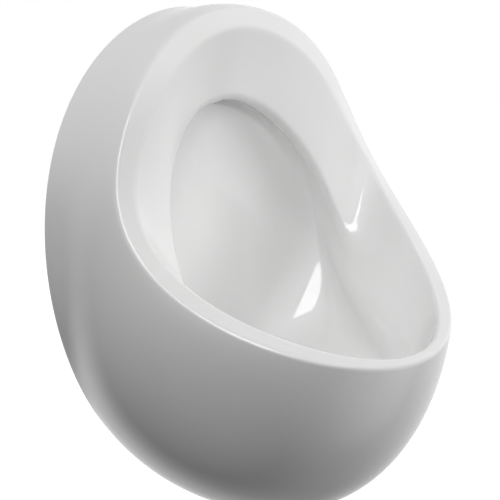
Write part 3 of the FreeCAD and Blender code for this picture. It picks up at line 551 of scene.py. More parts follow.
def ring_at(station, radius, along, columns):
    kind, across, level = station
    angle = turns(columns)
    one, two = radius * np.cos(angle), radius * np.sin(angle)
    if kind == "up":
        return point(across + one, level + two, along)
    return point(across + one, -along, level + two)


def finished(piece):
    """Joins doubled points, turns the faces outwards and keeps the sharp edges sharp."""
    work = bmesh.new()
    work.from_mesh(piece.data)
    bmesh.ops.remove_doubles(work, verts=work.verts, dist=1e-6)
    bmesh.ops.dissolve_degenerate(work, edges=work.edges, dist=1e-7)
    bmesh.ops.recalc_face_normals(work, faces=work.faces)
    work.to_mesh(piece.data)
    work.free()
    piece.data.set_sharp_from_angle(angle=SHARP)
    return piece


def turned(name, station, rows, columns=TURNS, solid=False):
    """A ring or, with both ends on the axis, a solid, through (radius, along) rows."""
    rings = [ring_at(station, radius, along, columns) for radius, along in rows]
    if not solid:
        return finished(closed_grid(name, rings))
    faces = ring_faces(len(rings), columns, False)
    return finished(mesh_piece(name, np.concatenate(rings), faces))


def rounded(corners, size, closed=True, steps=3):
    """The corners of a profile with each one turned into a small arc."""
    corners = [np.array(corner, float) for corner in corners]
    count = len(corners)
    out = []
    for index, here in enumerate(corners):
        if not closed and index in (0, count - 1):
            out.append(tuple(here))
            continue
        before, after = corners[index - 1], corners[(index + 1) % count]
        reach_before = min(size, np.linalg.norm(before - here) * 0.45)
        reach_after = min(size, np.linalg.norm(after - here) * 0.45)
        start, end = toward(here, before, reach_before), toward(here, after, reach_after)
        for along in np.linspace(0, 1, steps + 1):
            out.append(tuple(rounding(start, here, end, along)))
    return out


def ring_rows(inner, outer, low, high, edge):
    """Rows of a plain ring with rounded edges."""
    return rounded([(inner, low), (outer, low), (outer, high), (inner, high)], edge)


def hex_rows(circumradius, low, high, both_ends=True):
    """Rows of a hexagon whose corners are chamfered at its outer end, or at both ends."""
    sixth = pi / 3
    off = np.mod(turns() + sixth / 2, sixth) - sixth / 2
    across = circumradius * cos(sixth / 2)
    corner = circumradius - across
    shape = across / np.cos(off)
    slope = corner * 0.6
    chamfer = [
        (np.minimum(shape, across * 0.96 + corner * 1.3 * t), slope * t) for t in np.linspace(0, 1, 6)
    ]
    rows = [(shape, high - slope)] + [(radius, high - rise) for radius, rise in chamfer[::-1]]
    if not both_ends:
        return [(shape, low)] + rows
    return [(radius, low + rise) for radius, rise in chamfer] + [(shape, low + slope)] + rows


def thread_rows(major, depth, pitch, low, high, run_out=0.0):
    """Rows of a helical thread between two heights, shallower over the last stretch."""
    rows = []
    count = int(abs(high - low) / pitch * 10)
    for along in np.linspace(low, high, count):
        phase = np.mod(along / pitch - turns() / (2 * pi), 1.0)
        groove = np.clip(2.2 * np.abs(2 * phase - 1) - 0.5, 0, 1)
        share = 1.0
        if run_out:
            share = min(1.0, abs(along - low) / run_out, abs(high - along) / run_out)
        rows.append((major - depth * (1 - groove * share), along))
    return rows


def on_both_sides(piece):
    """Adds the mirror image of a piece to its mesh."""
    work = bmesh.new()
    work.from_mesh(piece.data)
    made = bmesh.ops.duplicate(work, geom=work.verts[:] + work.edges[:] + work.faces[:])
    copied = [item for item in made["geom"] if isinstance(item, bmesh.types.BMVert)]
    for vertex in copied:
        vertex.co.x = -vertex.co.x
    bmesh.ops.recalc_face_normals(work, faces=work.faces)
    work.to_mesh(piece.data)
    work.free()
    return piece


def combined(target, tool, operation):
    """Applies a union or a cut with another piece and removes that piece."""
    step = target.modifiers.new("shape", "BOOLEAN")
    step.operation = operation
    step.object = tool
    step.solver = "MANIFOLD"
    graph = bpy.context.evaluated_depsgraph_get()
    made = bpy.data.meshes.new_from_object(target.evaluated_get(graph))
    target.modifiers.clear()
    old = target.data
    target.data = made
    bpy.data.meshes.remove(old)
    bpy.data.objects.remove(tool)
    return target


def rod(name, station, radius, low, high):
    return turned(name, station, [(0.0, low), (radius, low), (radius, high), (0.0, high)], 64, True)


def block(name, x, y, z, edge):
    """A box between limits in millimetres with its edges rounded."""
    work = bmesh.new()
    bmesh.ops.create_cube(work, size=1.0)
    for vertex in work.verts:
        for axis, (low, high) in enumerate((x, y, z)):
            vertex.co[axis] = (low if vertex.co[axis] < 0 else high) * MM
    if edge:
        bmesh.ops.bevel(
            work, geom=work.edges[:] + work.verts[:], offset=edge * MM, segments=3,
            affect="EDGES", profile=0.5,
        )
    mesh = bpy.data.meshes.new(name)
    work.to_mesh(mesh)
    work.free()
    mesh.shade_smooth()
    piece = link(name, mesh)
    piece.data.set_sharp_from_angle(angle=radians(40))
    return piece


def folded(name, path, halves, gauge):
    """A steel strip bent along a path of (off the wall, height) points, with its half widths."""
    path = np.array(path, float)
    steps = unit(np.gradient(path, axis=0))
    across = np.stack([-steps[:, 1], steps[:, 0]], 1)
    rings = []
    thick = gauge / 2
    for place, normal, half in zip(path, across, halves):
        outline = rounded([(-half, -thick), (half, -thick), (half, thick), (-half, thick)], STRIP_EDGE)
        ring = []
        for x, lift in outline:
            off, level = place + normal * lift
            ring.append((x, -off, level))
        rings.append(ring)
    count = len(rings[0])
    points = np.array(rings).reshape(-1, 3)
    faces = ring_faces(len(rings), count, False)
    faces.append(tuple(range(count)))
    faces.append(tuple(range(len(points) - count, len(points))))
    return finished(mesh_piece(name, points, faces))


def bent_path(corners, bend, pieces=8):
    """Points along straight runs whose corners are bent to a radius."""
    out = [np.array(corners[0], float)]
    for index in range(1, len(corners) - 1):
        before, here, after = (np.array(corners[index + way], float) for way in (-1, 0, 1))
        start, end = toward(here, before, bend), toward(here, after, bend)
        for along in np.linspace(0, 1, pieces + 1):
            out.append(rounding(start, here, end, along))
    out.append(np.array(corners[-1], float))
    return out


def placed(piece, slot_name, node, body="urinal"):
    """Gives a piece its finish and its body, and hides the CAD node that it stands for."""
    piece.data.materials.clear()
    piece.data.materials.append(FINISH[slot_name])
    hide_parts(node)
    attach(piece, body)


# ---- back of the ceramic
LUG_INNER, LUG_OUTER = (39.0, 65.0), (65.0, 91.0)
LUG_REACH_INNER, LUG_REACH_OUTER, LUG_BACK = 41.0, 46.5, 5.0
LUG_LEVELS = (-56.0, -14.0)
TONGUE_REACH, TONGUE_HALF, TONGUE_TOP, SLOT_MARGIN = 15.5, 15.0, -36.0, 2.0
PAD_GAUGE = 2.0
SPREADER_SEAT, SPREADER_BOSS_TOP, SPREADER_BOSS, SPREADER_HOLE = 42.0, 60.0, 12.0, 5.3
SEAT_WIDE, SEAT_DEEP, SEAT_DROP = 24.0, 7.5, 8.5
LOCK_SEAT, LOCK_BOSS_TOP, LOCK_BOSS, LOCK_HOLE, LOCK_RECESS = -373.0, -361.0, 14.0, 5.5, 11.0
CUT_OVER = 1.0


def shaped(target, tool, operation, bare=True):
    """Joins or cuts a tool piece, bare or glazed, into the ceramic."""
    for made in (GLAZE, BISQUE):
        tool.data.materials.append(made)
    for face in tool.data.polygons:
        face.material_index = 1 if bare else 0
    return combined(target, tool, operation)


def ceramic_details(target):
    """The hanger lugs with their slots, and the bosses of the spreader and the locking screw."""
    for span, reach in ((LUG_INNER, LUG_REACH_INNER), (LUG_OUTER, LUG_REACH_OUTER)):
        lug = on_both_sides(block("lug", span, (-reach, -LUG_BACK), LUG_LEVELS, 0.0))
        shaped(target, lug, "UNION")
    low = SPREADER_SEAT - CUT_OVER
    shaped(target, rod("spreader_boss", SPREADER, SPREADER_BOSS, low, SPREADER_BOSS_TOP), "UNION")
    shaped(target, rod("lock_boss", LOCK, LOCK_BOSS, LOCK_SEAT, LOCK_BOSS_TOP), "UNION")
    front, back = TONGUE_REACH + SLOT_MARGIN, TONGUE_REACH - STEEL - SLOT_MARGIN
    half = TONGUE_HALF + SLOT_MARGIN
    slot_cut = block(
        "slot_cut", (HANGER_X - half, HANGER_X + half), (-front, -back),
        (LUG_LEVELS[0] - 4 * CUT_OVER, TONGUE_TOP + PAD_GAUGE), 1.5,
    )
    shaped(target, on_both_sides(slot_cut), "DIFFERENCE")
    seat = block(
        "seat_cut", (-SEAT_WIDE, SEAT_WIDE),
        (-SPREADER_DEPTH - SEAT_DEEP, -SPREADER_DEPTH + SEAT_DEEP),
        (SPREADER_SEAT - SEAT_DROP, SPREADER_SEAT), 1.5,
    )
    shaped(target, seat, "DIFFERENCE", False)
    for hole in (
        rod("spreader_hole", SPREADER, SPREADER_HOLE, low - 1, SPREADER_BOSS_TOP + CUT_OVER),
        rod("lock_hole", LOCK, LOCK_HOLE, LOCK_SEAT - 20, LOCK_BOSS_TOP + CUT_OVER),
        rod("lock_recess", LOCK, LOCK_RECESS, LOCK_SEAT - 20, LOCK_SEAT),
    ):
        shaped(target, hole, "DIFFERENCE")
    target.data.set_sharp_from_angle(angle=radians(38))
    return target


# ---- ceramic piece
ceramic, glazed_rows = ceramic_shell()
ceramic.data.materials.append(GLAZE)
ceramic.data.materials.append(BISQUE)
for index, face in enumerate(ceramic.data.polygons):
    face.material_index = 0 if glazed_rows[index // COLUMNS] else 1
ceramic_details(ceramic)
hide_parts("ceramic_body")
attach(ceramic, "urinal")


# ---- hangers and wall screws
SCREW_RADIUS, SCREW_NECK, SCREW_LENGTH = 4.0, 3.7, 50.0
SCREW_HEAD, SCREW_HEAD_HEIGHT = 7.5, 5.5
HOLE_CLEARANCE = 0.5
WASHER_RADIUS, WASHER_GAUGE = 11.0, 1.6
SCREW_SEAT = STEEL + WASHER_GAUGE


def strip(name, corners, bend, wide, narrow, change, corner):
    """A folded strip: rounded at both ends, and narrower past a length along it."""
    path = np.array(bent_path(corners, bend))
    lengths = np.concatenate([[0], np.cumsum(np.linalg.norm(np.diff(path, axis=0), axis=1))])
    total = lengths[-1]
    places = np.concatenate([
        np.linspace(0, corner, 9), np.linspace(corner, total - corner, 90)[1:-1],
        np.linspace(total - corner, total, 9),
    ])
    path = np.stack([np.interp(places, lengths, path[:, axis]) for axis in (0, 1)], 1)
    share = np.clip((places - change) / 3.0, 0, 1)
    half = wide + (narrow - wide) * share * share * (3 - 2 * share)
    near = np.minimum(np.minimum(places, total - places), corner)
    half = half - corner + np.sqrt(corner ** 2 - (corner - near) ** 2)
    return folded(name, path, half, STEEL)


def hanger(name, x):
    """A wall plate with a leaf that bends out and up into a tongue."""
    middle = STEEL / 2
    top, leaf, tongue = 16.0, -62.0 + middle, TONGUE_REACH - middle
    corners = [(middle, top), (middle, leaf), (tongue, leaf), (tongue, TONGUE_TOP)]
    piece = strip(name, corners, FOLD_RADIUS, 22.0, TONGUE_HALF, 70.0, 5.0)
    piece.data.transform(Matrix.Translation((x * MM, 0.0, 0.0)))
    bore = rod("bore", ("out", x, 0.0), SCREW_RADIUS + HOLE_CLEARANCE, -1.0, 4.0)
    return combined(piece, bore, "DIFFERENCE")


def coach_screw(name, x, z):
    """A pair of hexagon-headed wood screws with a coarse thread and a point."""
    station = ("out", x, z)
    tip, thread_end = -SCREW_LENGTH, -16.0
    rows = [(0.0, tip)]
    for radius, along in thread_rows(SCREW_RADIUS, 0.8, 3.0, tip + 0.4, thread_end, 3.0):
        rows.append((np.minimum(radius, 0.3 + (along - tip) * 0.62), along))
    rows += [(SCREW_RADIUS, thread_end + 0.8), (SCREW_RADIUS, -0.3), (SCREW_NECK, 0.0)]
    rows += [(SCREW_NECK, SCREW_SEAT), (SCREW_HEAD * 0.84, SCREW_SEAT)]
    rows += hex_rows(SCREW_HEAD, SCREW_SEAT + 0.3, SCREW_SEAT + SCREW_HEAD_HEIGHT, False)
    rows.append((0.0, SCREW_SEAT + SCREW_HEAD_HEIGHT))
    return on_both_sides(turned(name, station, rows, solid=True))


def flat_washer(name, x, z):
    rows = ring_rows(SCREW_RADIUS + HOLE_CLEARANCE, WASHER_RADIUS, STEEL, SCREW_SEAT, 0.45)
    return on_both_sides(turned(name, ("out", x, z), rows))


for side, x in (("right", HANGER_X), ("left", -HANGER_X)):
    placed(hanger("hanger_" + side, x), "galvanised", "wall_hanger_" + side)
for group, x, z in (("hanger", HANGER_X, 0.0), ("foot", FOOT_X, FOOT_LEVEL)):
    screws = coach_screw(group + "_coach_screws", x, z)
    placed(screws, "screws", group + "_screws")
    washers = flat_washer(group + "_flat_washers", x, z)
    placed(washers, "washers", group + "_washers")

# ---- foot bracket, locking screw
FOOT_TOP, FOOT_LEAF, FOOT_REACH, FOOT_HALF = -327.0, -349.0, 38.0, 37.0
LOCK_RADIUS, LOCK_END = 4.0, -337.45


def foot():
    middle = STEEL / 2
    corners = [(middle, FOOT_TOP), (middle, FOOT_LEAF + middle), (FOOT_REACH, FOOT_LEAF + middle)]
    piece = strip("foot_angle", corners, FOLD_RADIUS, FOOT_HALF, FOOT_HALF * 0.6, 15.0, 4.0)
    bores = on_both_sides(rod("bores", ("out", FOOT_X, FOOT_LEVEL), LOCK_RADIUS + 0.5, -1.0, 4.0))
    combined(piece, bores, "DIFFERENCE")
    hole = rod("hole", LOCK, LOCK_RADIUS + 0.5, FOOT_LEAF - 1, FOOT_LEAF + STEEL + 1)
    return combined(piece, hole, "DIFFERENCE")


def locking_screw():
    """A pan head with a cross recess, and a machine thread."""
    head_top = LOCK_SEAT - WASHER_GAUGE - 0.1
    low, end = head_top - 4.0, LOCK_END
    dome = [(7.0 * sin(t), low + 2.6 * (1 - cos(t))) for t in np.linspace(0.0, pi / 2, 9)]
    rows = dome + [(7.0, head_top - 0.3), (6.7, head_top), (LOCK_RADIUS - 0.4, head_top)]
    rows += thread_rows(LOCK_RADIUS, 0.5, 1.25, head_top + 1, end - 0.8, 1.0)
    rows += [(LOCK_RADIUS - 1.0, end), (0.0, end)]
    piece = turned("lock_bolt", LOCK, rows, solid=True)
    for across, deep in ((4.2, 0.7), (0.7, 4.2)):
        slot_cut = block(
            "cross", (-across, across), (-LOCK_DEPTH - deep, -LOCK_DEPTH + deep),
            (low - 1.0, low + 1.8), 0.2,
        )
        combined(piece, slot_cut, "DIFFERENCE")
    piece.data.set_sharp_from_angle(angle=SHARP)
    return piece


def hex_nut(name, station, circumradius, bore, low, high, pitch):
    """A chamfered hexagon nut with a thread in its bore."""
    rows = [(bore + 0.5, low)] + hex_rows(circumradius, low, high) + [(bore + 0.5, high)]
    inner = thread_rows(bore + 0.45, 0.45, pitch, high - 0.5, low + 0.5)
    return turned(name, station, rows + inner)


placed(foot(), "galvanised", "foot_bracket")
placed(locking_screw(), "stainless", "locking_screw")
nut_low = FOOT_LEAF + STEEL + 0.05
lock_nut = hex_nut("lock_nut", LOCK, 7.2, LOCK_RADIUS + 0.05, nut_low, nut_low + 6.5, 1.25)
placed(lock_nut, "screws", "locking_nut")
cap_low = LOCK_SEAT - WASHER_GAUGE - 0.05
cap = turned("lock_cap", LOCK, ring_rows(4.5, 10.0, cap_low, LOCK_SEAT - 0.05, 0.6))
placed(cap, "pad", "locking_washer")

# ---- trap and waste
SEAT = DRAIN_FLOOR + GASKET
RIM_TOP = SEAT + 3.0
UNDER = DRAIN_FLOOR - DRAIN_CERAMIC
TRAP_TOP = UNDER - GASKET
TRAP_LEDGE = TRAP_TOP - 8.0
TRAP_RADIUS, TRAP_WALL, TRAP_BOTTOM = 44.0, 3.0, -368.0
TRAP_INNER = TRAP_RADIUS - TRAP_WALL
SLEEVE_RADIUS, SLEEVE_BORE = 23.0, 20.0
FLANGE_RADIUS, GASKET_RADIUS = 33.0, 24.5
GRIP_TOP, GRIP_DEPTH, GRIP_RIBS = -331.0, 0.8, 24
SOCKET_RADIUS, SOCKET_END = 29.0, 55.0
SPIGOT_RADIUS = 24.5


def trap_cup():
    """The moulded cup with its socket, grip ribs round the waist and a rounded floor."""
    neck = SLEEVE_RADIUS + 0.05
    corners = [
        (neck, TRAP_TOP), (TRAP_RADIUS, TRAP_TOP), (TRAP_RADIUS, TRAP_TOP - 5),
        (TRAP_RADIUS - 1, TRAP_TOP - 6), (TRAP_RADIUS - 1, GRIP_TOP + 1), (TRAP_RADIUS, GRIP_TOP),
        (TRAP_RADIUS, TRAP_BOTTOM + 7), (TRAP_RADIUS - 7, TRAP_BOTTOM), (0.5, TRAP_BOTTOM),
        (0.5, TRAP_BOTTOM + TRAP_WALL), (TRAP_RADIUS - 8.5, TRAP_BOTTOM + TRAP_WALL),
        (TRAP_INNER, TRAP_BOTTOM + 9.5), (TRAP_INNER, TRAP_LEDGE), (neck, TRAP_LEDGE),
    ]
    rows = rounded(corners, 1.2)
    ribs = GRIP_DEPTH * np.clip(np.cos(turns(144) * GRIP_RIBS) * 1.6, -1, 1) - GRIP_DEPTH
    shaped_rows = []
    for radius, along in rows:
        ribbed = radius > TRAP_RADIUS - 0.4 and TRAP_BOTTOM + 6 < along < GRIP_TOP - 0.5
        shaped_rows.append((radius + ribs if ribbed else radius, along))
    cup = turned("trap_bowl", DRAIN, shaped_rows, 144)
    plug = rod("plug", DRAIN, 0.6, TRAP_BOTTOM, TRAP_BOTTOM + TRAP_WALL)
    combined(cup, plug, "UNION")
    stub_rows = [(0.0, SOCKET_END), (SOCKET_RADIUS - 0.6, SOCKET_END)]
    stub_rows += thread_rows(SOCKET_RADIUS, 0.9, 3.0, SOCKET_END + 0.8, 70.0, 1.5)
    stub_rows += [(SOCKET_RADIUS, 71.5), (SOCKET_RADIUS, 100.0), (0.0, 100.0)]
    stub = turned("stub", OUTLET, stub_rows, solid=True)
    combined(stub, rod("keep_out", DRAIN, TRAP_INNER, TRAP_BOTTOM + 9.5, TRAP_LEDGE), "DIFFERENCE")
    combined(cup, stub, "UNION")
    combined(cup, rod("bore", OUTLET, SPIGOT_RADIUS + 0.3, SOCKET_END - 1, 98.0), "DIFFERENCE")
    cup.data.set_sharp_from_angle(angle=radians(35))
    return cup


def outlet_pieces():
    """The pipe, its nut with grip ribs, and the seal between pipe and socket."""
    pipe, bore, end = 25.0, 23.0, 89.0
    corners = [
        (bore, -40.0), (pipe - 1.5, -40.0), (pipe, -36.0), (pipe, 0.0), (SPIGOT_RADIUS, 0.5),
        (SPIGOT_RADIUS, end - 2), (SPIGOT_RADIUS - 1, end), (bore, end),
    ]
    tube = turned("waste_pipe", OUTLET, rounded(corners, 0.4), 96)
    placed(tube, "pipe_plastic", "outlet_pipe")
    low, high, outer, seal_low = 49.0, 67.0, 34.0, 52.0
    grip = 1.1 * np.clip(np.cos(turns(144) * 12) * 2.2, -1, 1) - 1.1
    profile = [(24.9, low), (outer - 2.5, low), (outer, low + 2.0), (outer, high)]
    profile += [(SOCKET_RADIUS + 0.05, high), (SOCKET_RADIUS + 0.05, seal_low), (24.9, seal_low)]
    rows = []
    for radius, along in rounded(profile, 0.8):
        gripped = radius > outer - 1 and low + 2 < along < high - 1.5
        rows.append((radius + grip if gripped else radius, along))
    nut = turned("slip_nut", OUTLET, rows, 144)
    placed(nut, "trap_plastic", "outlet_nut")
    ring = turned("slip_seal", OUTLET, ring_rows(24.55, 28.5, seal_low, SOCKET_END, 1.0))
    placed(ring, "rubber", "outlet_seal")


def waste_pieces():
    """The chromed ring in the drain and its two gaskets."""
    corners = [
        (SLEEVE_BORE, TRAP_LEDGE), (SLEEVE_RADIUS, TRAP_LEDGE), (SLEEVE_RADIUS, SEAT),
        (FLANGE_RADIUS, SEAT), (FLANGE_RADIUS, RIM_TOP - 1.5), (FLANGE_RADIUS - 2, RIM_TOP),
        (SLEEVE_BORE + 1, RIM_TOP), (SLEEVE_BORE, RIM_TOP - 1.0),
    ]
    ring = turned("waste_flange", DRAIN, rounded(corners, 0.6), 144)
    placed(ring, "chrome", "waste_ring")
    for name, node, outer, low in (
        ("drain_gasket", "waste_gasket", FLANGE_RADIUS, DRAIN_FLOOR),
        ("cup_gasket", "trap_gasket", 39.0, TRAP_TOP),
    ):
        rows = ring_rows(GASKET_RADIUS, outer, low, low + GASKET, 0.5)
        piece = turned(name, DRAIN, rows, 96)
        placed(piece, "rubber", node)


def insert_pieces():
    """The lift-out dip tube with its ring, on which the strainer sits."""
    low, top = RIM_TOP + 0.05, RIM_TOP + 2.55
    shoulder, groove, tube, bore, bottom = 19.7, 18.1, 16.0, 14.0, -356.0
    groove_top, groove_low = RIM_TOP - 6.0, RIM_TOP - 8.6
    corners = [
        (bore, bottom), (tube - 0.6, bottom), (tube, bottom + 1.2), (tube, groove_low - 5),
        (shoulder, groove_low - 4), (shoulder, groove_low), (groove, groove_low),
        (groove, groove_top), (shoulder, groove_top), (shoulder, low), (29.0, low),
        (29.0, top - 1), (28.0, top), (bore, top),
    ]
    piece = turned("dip_tube", DRAIN, rounded(corners, 0.35), 96)
    placed(piece, "insert_plastic", "trap_insert", "insert")
    middle, inner, outer, half = groove_low + 1.3, groove + 0.05, 19.95, 1.2
    centre, reach = (inner + outer) / 2, (outer - inner) / 2
    circle = [(centre + reach * cos(t), middle + half * sin(t)) for t in turns(20)]
    ring = turned("dip_tube_ring", DRAIN, circle, 96)
    placed(ring, "rubber", "insert_ring", "insert")


def strainer_piece():
    low = RIM_TOP + 2.6
    edge, rise, gauge, skirt = 28.0, 7.0, 2.0, 13.7
    corners = [
        (0.0, low + rise), (edge * 0.4, low + rise * 0.9), (edge * 0.75, low + rise * 0.5),
        (edge, low + gauge * 0.5), (edge, low), (skirt, low), (skirt, low - 8.0),
        (skirt - 1.5, low - 8.0), (skirt - 1.5, low + rise * 0.9 - gauge), (0.0, low + rise - gauge),
    ]
    rows = rounded(corners, 3.0, closed=False, steps=6)
    dome = turned("drain_strainer", DRAIN, rows, 144, solid=True)
    spots = [(0.0, 0.0)] + [(7.6 * cos(t), 7.6 * sin(t)) for t in turns(6)]
    for x, y in spots:
        combined(dome, rod("hole", ("up", x, y - DRAIN_DEPTH), 2.4, low - 1, low + 9), "DIFFERENCE")
    dome.data.set_sharp_from_angle(angle=radians(30))
    placed(dome, "stainless", "strainer", "strainer")


placed(trap_cup(), "trap_plastic", "trap_housing")
outlet_pieces()
waste_pieces()
insert_pieces()
strainer_piece()

# ---- flush inlet
TUBE_RADIUS, TUBE_BORE = 9.0, 6.25
ELBOW_START, ELBOW_END = 10.0, 70.0
NIPPLE_RADIUS = 10.4
NECK_RADIUS = 5.05


def elbow():
    """A bent tube from the union down to the spreader, with a flange for the nut."""
    corners = [
        (ELBOW_START, INLET_LEVEL), (SPREADER_DEPTH, INLET_LEVEL), (SPREADER_DEPTH, ELBOW_END)
    ]
    path = np.array(bent_path(corners, 9.0, 14))
    steps = unit(np.gradient(path, axis=0))
    rings = []
    for radius, order in ((TUBE_RADIUS, 1), (TUBE_BORE, -1)):
        for place, step in list(zip(path, steps))[::order]:
            across, up = radius * np.cos(turns(48)), radius * np.sin(turns(48))
            off, level = place[0] - step[1] * up, place[1] + step[0] * up
            rings.append(point(across, -off, level))
    piece = finished(closed_grid("flush_elbow", rings))
    flange = turned("flange", INLET, ring_rows(TUBE_RADIUS - 1, 12.0, ELBOW_START, 12.0, 0.4), 48)
    combined(piece, flange, "UNION")
    inner, outer = TUBE_RADIUS - 1, TUBE_RADIUS + 0.6
    band = [(inner, ELBOW_END), (outer, ELBOW_END), (outer, ELBOW_END + 4), (inner, ELBOW_END + 5)]
    combined(piece, turned("end_band", SPREADER, rounded(band, 0.5), 48), "UNION")
    piece.data.set_sharp_from_angle(angle=SHARP)
    return piece


def nipple():
    """The wall nipple with its pipe thread and collar."""
    rows = [(TUBE_BORE, -14.0), (NIPPLE_RADIUS - 1.2, -14.0)]
    rows += thread_rows(NIPPLE_RADIUS, 0.8, 1.8, -13.2, -0.8)
    rows += [(NIPPLE_RADIUS - 0.8, 0.0), (13.5, 0.0), (13.9, 0.4), (13.9, 1.1), (13.5, 1.5)]
    rows += [(NIPPLE_RADIUS - 0.5, 1.5)] + thread_rows(NIPPLE_RADIUS, 0.8, 1.8, 2.2, 7.6)
    rows += [(NIPPLE_RADIUS - 1.0, 8.45), (TUBE_BORE, 8.45)]
    return turned("wall_nipple", INLET, rows)


def union_nut():
    low, high, thread = 2.0, 15.0, NIPPLE_RADIUS + 0.05
    mouth, mouth_end, seat, seat_end = 9.3, 12.1, 12.3, 8.4
    rows = [(thread, low)] + hex_rows(15.0, low, high) + [(mouth, high), (mouth, mouth_end)]
    rows += [(seat, mouth_end), (seat, seat_end), (thread, seat_end)]
    return turned("union_hex_nut", INLET, rows)


placed(elbow(), "chrome", "inlet_elbow")
placed(nipple(), "brass", "inlet_nipple")
placed(union_nut(), "chrome", "inlet_union_nut")
back_nut = hex_nut("spreader_back_nut", SPREADER, 11.0, NECK_RADIUS, 61.5, 68.5, 1.5)
placed(back_nut, "brass", "spreader_locknut")

# ---- CAD pieces that show as they are
KEPT = {
    "hanger_pads": "pad", "spreader_body": "chrome", "spreader_gasket": "rubber",
    "spreader_washer": "rubber", "inlet_seal": "rubber",
}
for node, slot_name in KEPT.items():
    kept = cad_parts[node]
    kept.data.materials.clear()
    kept.data.materials.append(FINISH[slot_name])

# ---- camera
CAMERA_AZIMUTH = -46.0
CAMERA_ELEVATION = 20.0
CAMERA_ROLL = -2.0
CAMERA_DISTANCE = 1.980
CAMERA_TARGET = Vector((0.0, -0.150, -0.120))
FRAME_SIDE = 500.0
FOCAL_PIXELS = 1952.0
PRINCIPAL_PIXEL = (279.7, 268.2)
SENSOR = 36.0


def way_to(azimuth, elevation):
    """The direction at an azimuth from straight ahead and an elevation, both in degrees."""
    across = cos(radians(elevation))
    return Vector((
        sin(radians(azimuth)) * across, -cos(radians(azimuth)) * across, sin(radians(elevation))
    ))


def photo_camera():
    data = bpy.data.cameras.new("camera")
    camera = bpy.data.objects.new("camera", data)
    bpy.context.scene.collection.objects.link(camera)
    back = way_to(CAMERA_AZIMUTH, CAMERA_ELEVATION)
    right = Vector((cos(radians(CAMERA_AZIMUTH)), sin(radians(CAMERA_AZIMUTH)), 0.0))
    up = back.cross(right)
    roll = radians(CAMERA_ROLL)
    turned_right = right * cos(roll) + up * sin(roll)
    turned_up = up * cos(roll) - right * sin(roll)
    axes = Matrix((turned_right, turned_up, back)).transposed()
    camera.matrix_world = (
        Matrix.Translation(CAMERA_TARGET + back * CAMERA_DISTANCE) @ axes.to_4x4()
    )
    data.sensor_fit = "HORIZONTAL"
    data.sensor_width = SENSOR
    data.lens = FOCAL_PIXELS / FRAME_SIDE * SENSOR
    data.shift_x = (FRAME_SIDE / 2 - PRINCIPAL_PIXEL[0]) / FRAME_SIDE
    data.shift_y = (PRINCIPAL_PIXEL[1] - FRAME_SIDE / 2) / FRAME_SIDE
    bpy.context.scene.camera = camera


photo_camera()


# ---- stage and light
LIGHT_AIM = Vector((0.0, -0.15, -0.12))
FLOOR_LEVEL, FLOOR_HALF, FLOOR_WHITE = -0.80, 6.0, 0.985
LAMP_DISTANCE = 2.2
# azimuth and elevation in degrees, width and height in metres, watts, seen in glossy pieces
LAMPS = {
    "right_front": (42.0, 8.0, 1.2, 1.0, 25.0, False),
    "right_high": (54.0, 46.0, 0.9, 0.9, 6.0, False),
    "right_side": (95.0, 15.0, 1.2, 1.2, 16.0, False),
    "right_low": (74.0, -26.0, 1.2, 1.0, 12.0, False),
    "front": (10.0, 10.0, 1.2, 1.0, 5.0, False),
    "left": (-76.0, 26.0, 1.2, 1.0, 5.0, False),
    "left_side": (-120.0, 5.0, 1.2, 1.0, 7.0, False),
    "left_front": (-50.0, 32.0, 0.6, 0.9, 12.0, True),
    "top": (21.0, 77.0, 1.0, 1.0, 10.0, False),
    "back_top": (-116.0, 66.0, 1.0, 1.0, 9.0, False),
    "behind": (180.0, 10.0, 1.6, 1.6, 9.0, False),
}
# what glossy pieces reflect: an even room with brighter and darker parts, each by azimuth,
# elevation and reach in degrees and its change in level
ROOM_LEVEL = 0.9
ROOM_PARTS = {
    "left_wall_light": (-42.0, 38.0, 40.0, 1.8),
    "bright_table": (8.0, -34.0, 38.0, 1.3),
    "dark_low_left": (-112.0, -38.0, 62.0, -1.5),
    "dark_right_high": (78.0, 46.0, 42.0, -1.2),
}


def arithmetic(tree, operation, first, second):
    node = tree.nodes.new("ShaderNodeMath")
    node.operation = operation
    for socket, value in zip(node.inputs, (first, second)):
        if isinstance(value, float):
            socket.default_value = value
        else:
            tree.links.new(value, socket)
    return node.outputs[0]


def seen_directly(tree):
    """1 for what the camera sees, straight or by reflection or through glass."""
    path = tree.nodes.new("ShaderNodeLightPath")
    total = path.outputs["Is Camera Ray"]
    for name in ("Is Glossy Ray", "Is Transmission Ray"):
        total = arithmetic(tree, "MAXIMUM", total, path.outputs[name])
    return total


def room_level(tree):
    """How bright the room is in each direction, as glossy pieces reflect it."""
    place = tree.nodes.new("ShaderNodeTexCoord")
    total = ROOM_LEVEL
    for azimuth, elevation, reach, change in ROOM_PARTS.values():
        near = tree.nodes.new("ShaderNodeVectorMath")
        near.operation = "DOT_PRODUCT"
        near.inputs[1].default_value = way_to(azimuth, elevation)
        tree.links.new(place.outputs["Generated"], near.inputs[0])
        soft = tree.nodes.new("ShaderNodeMapRange")
        soft.interpolation_type = "SMOOTHSTEP"
        soft.inputs["From Min"].default_value = cos(radians(reach))
        soft.inputs["To Max"].default_value = change
        tree.links.new(near.outputs["Value"], soft.inputs["Value"])
        total = arithmetic(tree, "ADD", total, soft.outputs["Result"])
    return arithmetic(tree, "MAXIMUM", total, 0.0)


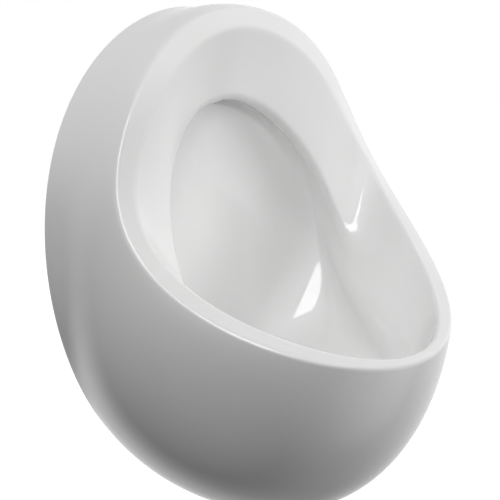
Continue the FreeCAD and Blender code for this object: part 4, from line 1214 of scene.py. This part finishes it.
def studio_world():
    world = bpy.data.worlds.new("studio")
    bpy.context.scene.world = world
    tree = empty_tree(world)
    output = tree.nodes.new("ShaderNodeOutputWorld")
    sky = tree.nodes.new("ShaderNodeBackground")
    path = tree.nodes.new("ShaderNodeLightPath")
    white = arithmetic(
        tree, "MAXIMUM", path.outputs["Is Camera Ray"], path.outputs["Is Transmission Ray"]
    )
    mirrored = arithmetic(tree, "MULTIPLY", path.outputs["Is Glossy Ray"], room_level(tree))
    tree.links.new(arithmetic(tree, "MAXIMUM", white, mirrored), sky.inputs["Strength"])
    sky.inputs["Color"].default_value = (1, 1, 1, 1)
    tree.links.new(sky.outputs[0], output.inputs["Surface"])


def soft_lamp(name, azimuth, elevation, width, height, watts, mirrored):
    data = bpy.data.lights.new(name, "AREA")
    data.shape = "RECTANGLE"
    data.size, data.size_y = width, height
    data.energy = watts
    lamp = bpy.data.objects.new(name, data)
    bpy.context.scene.collection.objects.link(lamp)
    way = way_to(azimuth, elevation)
    lamp.location = LIGHT_AIM + way * LAMP_DISTANCE
    lamp.rotation_mode = "QUATERNION"
    lamp.rotation_quaternion = (-way).to_track_quat("-Z", "Y")
    lamp.visible_glossy = mirrored


def floor():
    half = FLOOR_HALF
    corners = [(-half, -half, 0), (half, -half, 0), (half, half, 0), (-half, half, 0)]
    mesh = bpy.data.meshes.new("floor")
    mesh.from_pydata(corners, [], [(0, 1, 2, 3)])
    ground = link("floor", mesh)
    ground.location.z = FLOOR_LEVEL
    ground.visible_glossy = False
    made = bpy.data.materials.new("pale_floor")
    tree = empty_tree(made)
    output = tree.nodes.new("ShaderNodeOutputMaterial")
    diffuse = tree.nodes.new("ShaderNodeBsdfDiffuse")
    glow = tree.nodes.new("ShaderNodeEmission")
    both = tree.nodes.new("ShaderNodeAddShader")
    seen = seen_directly(tree)
    shade = ramp(tree, seen, grey(0.03), grey(0.35), 0.0, 1.0)
    tree.links.new(shade, diffuse.inputs["Color"])
    tree.links.new(seen, glow.inputs["Strength"])
    glow.inputs["Color"].default_value = grey(FLOOR_WHITE)
    tree.links.new(diffuse.outputs[0], both.inputs[0])
    tree.links.new(glow.outputs[0], both.inputs[1])
    tree.links.new(both.outputs[0], output.inputs["Surface"])
    mesh.materials.append(made)


studio_world()
floor()
for name, settings in LAMPS.items():
    soft_lamp(name, *settings)
bpy.context.scene.view_settings.view_transform = "Standard"
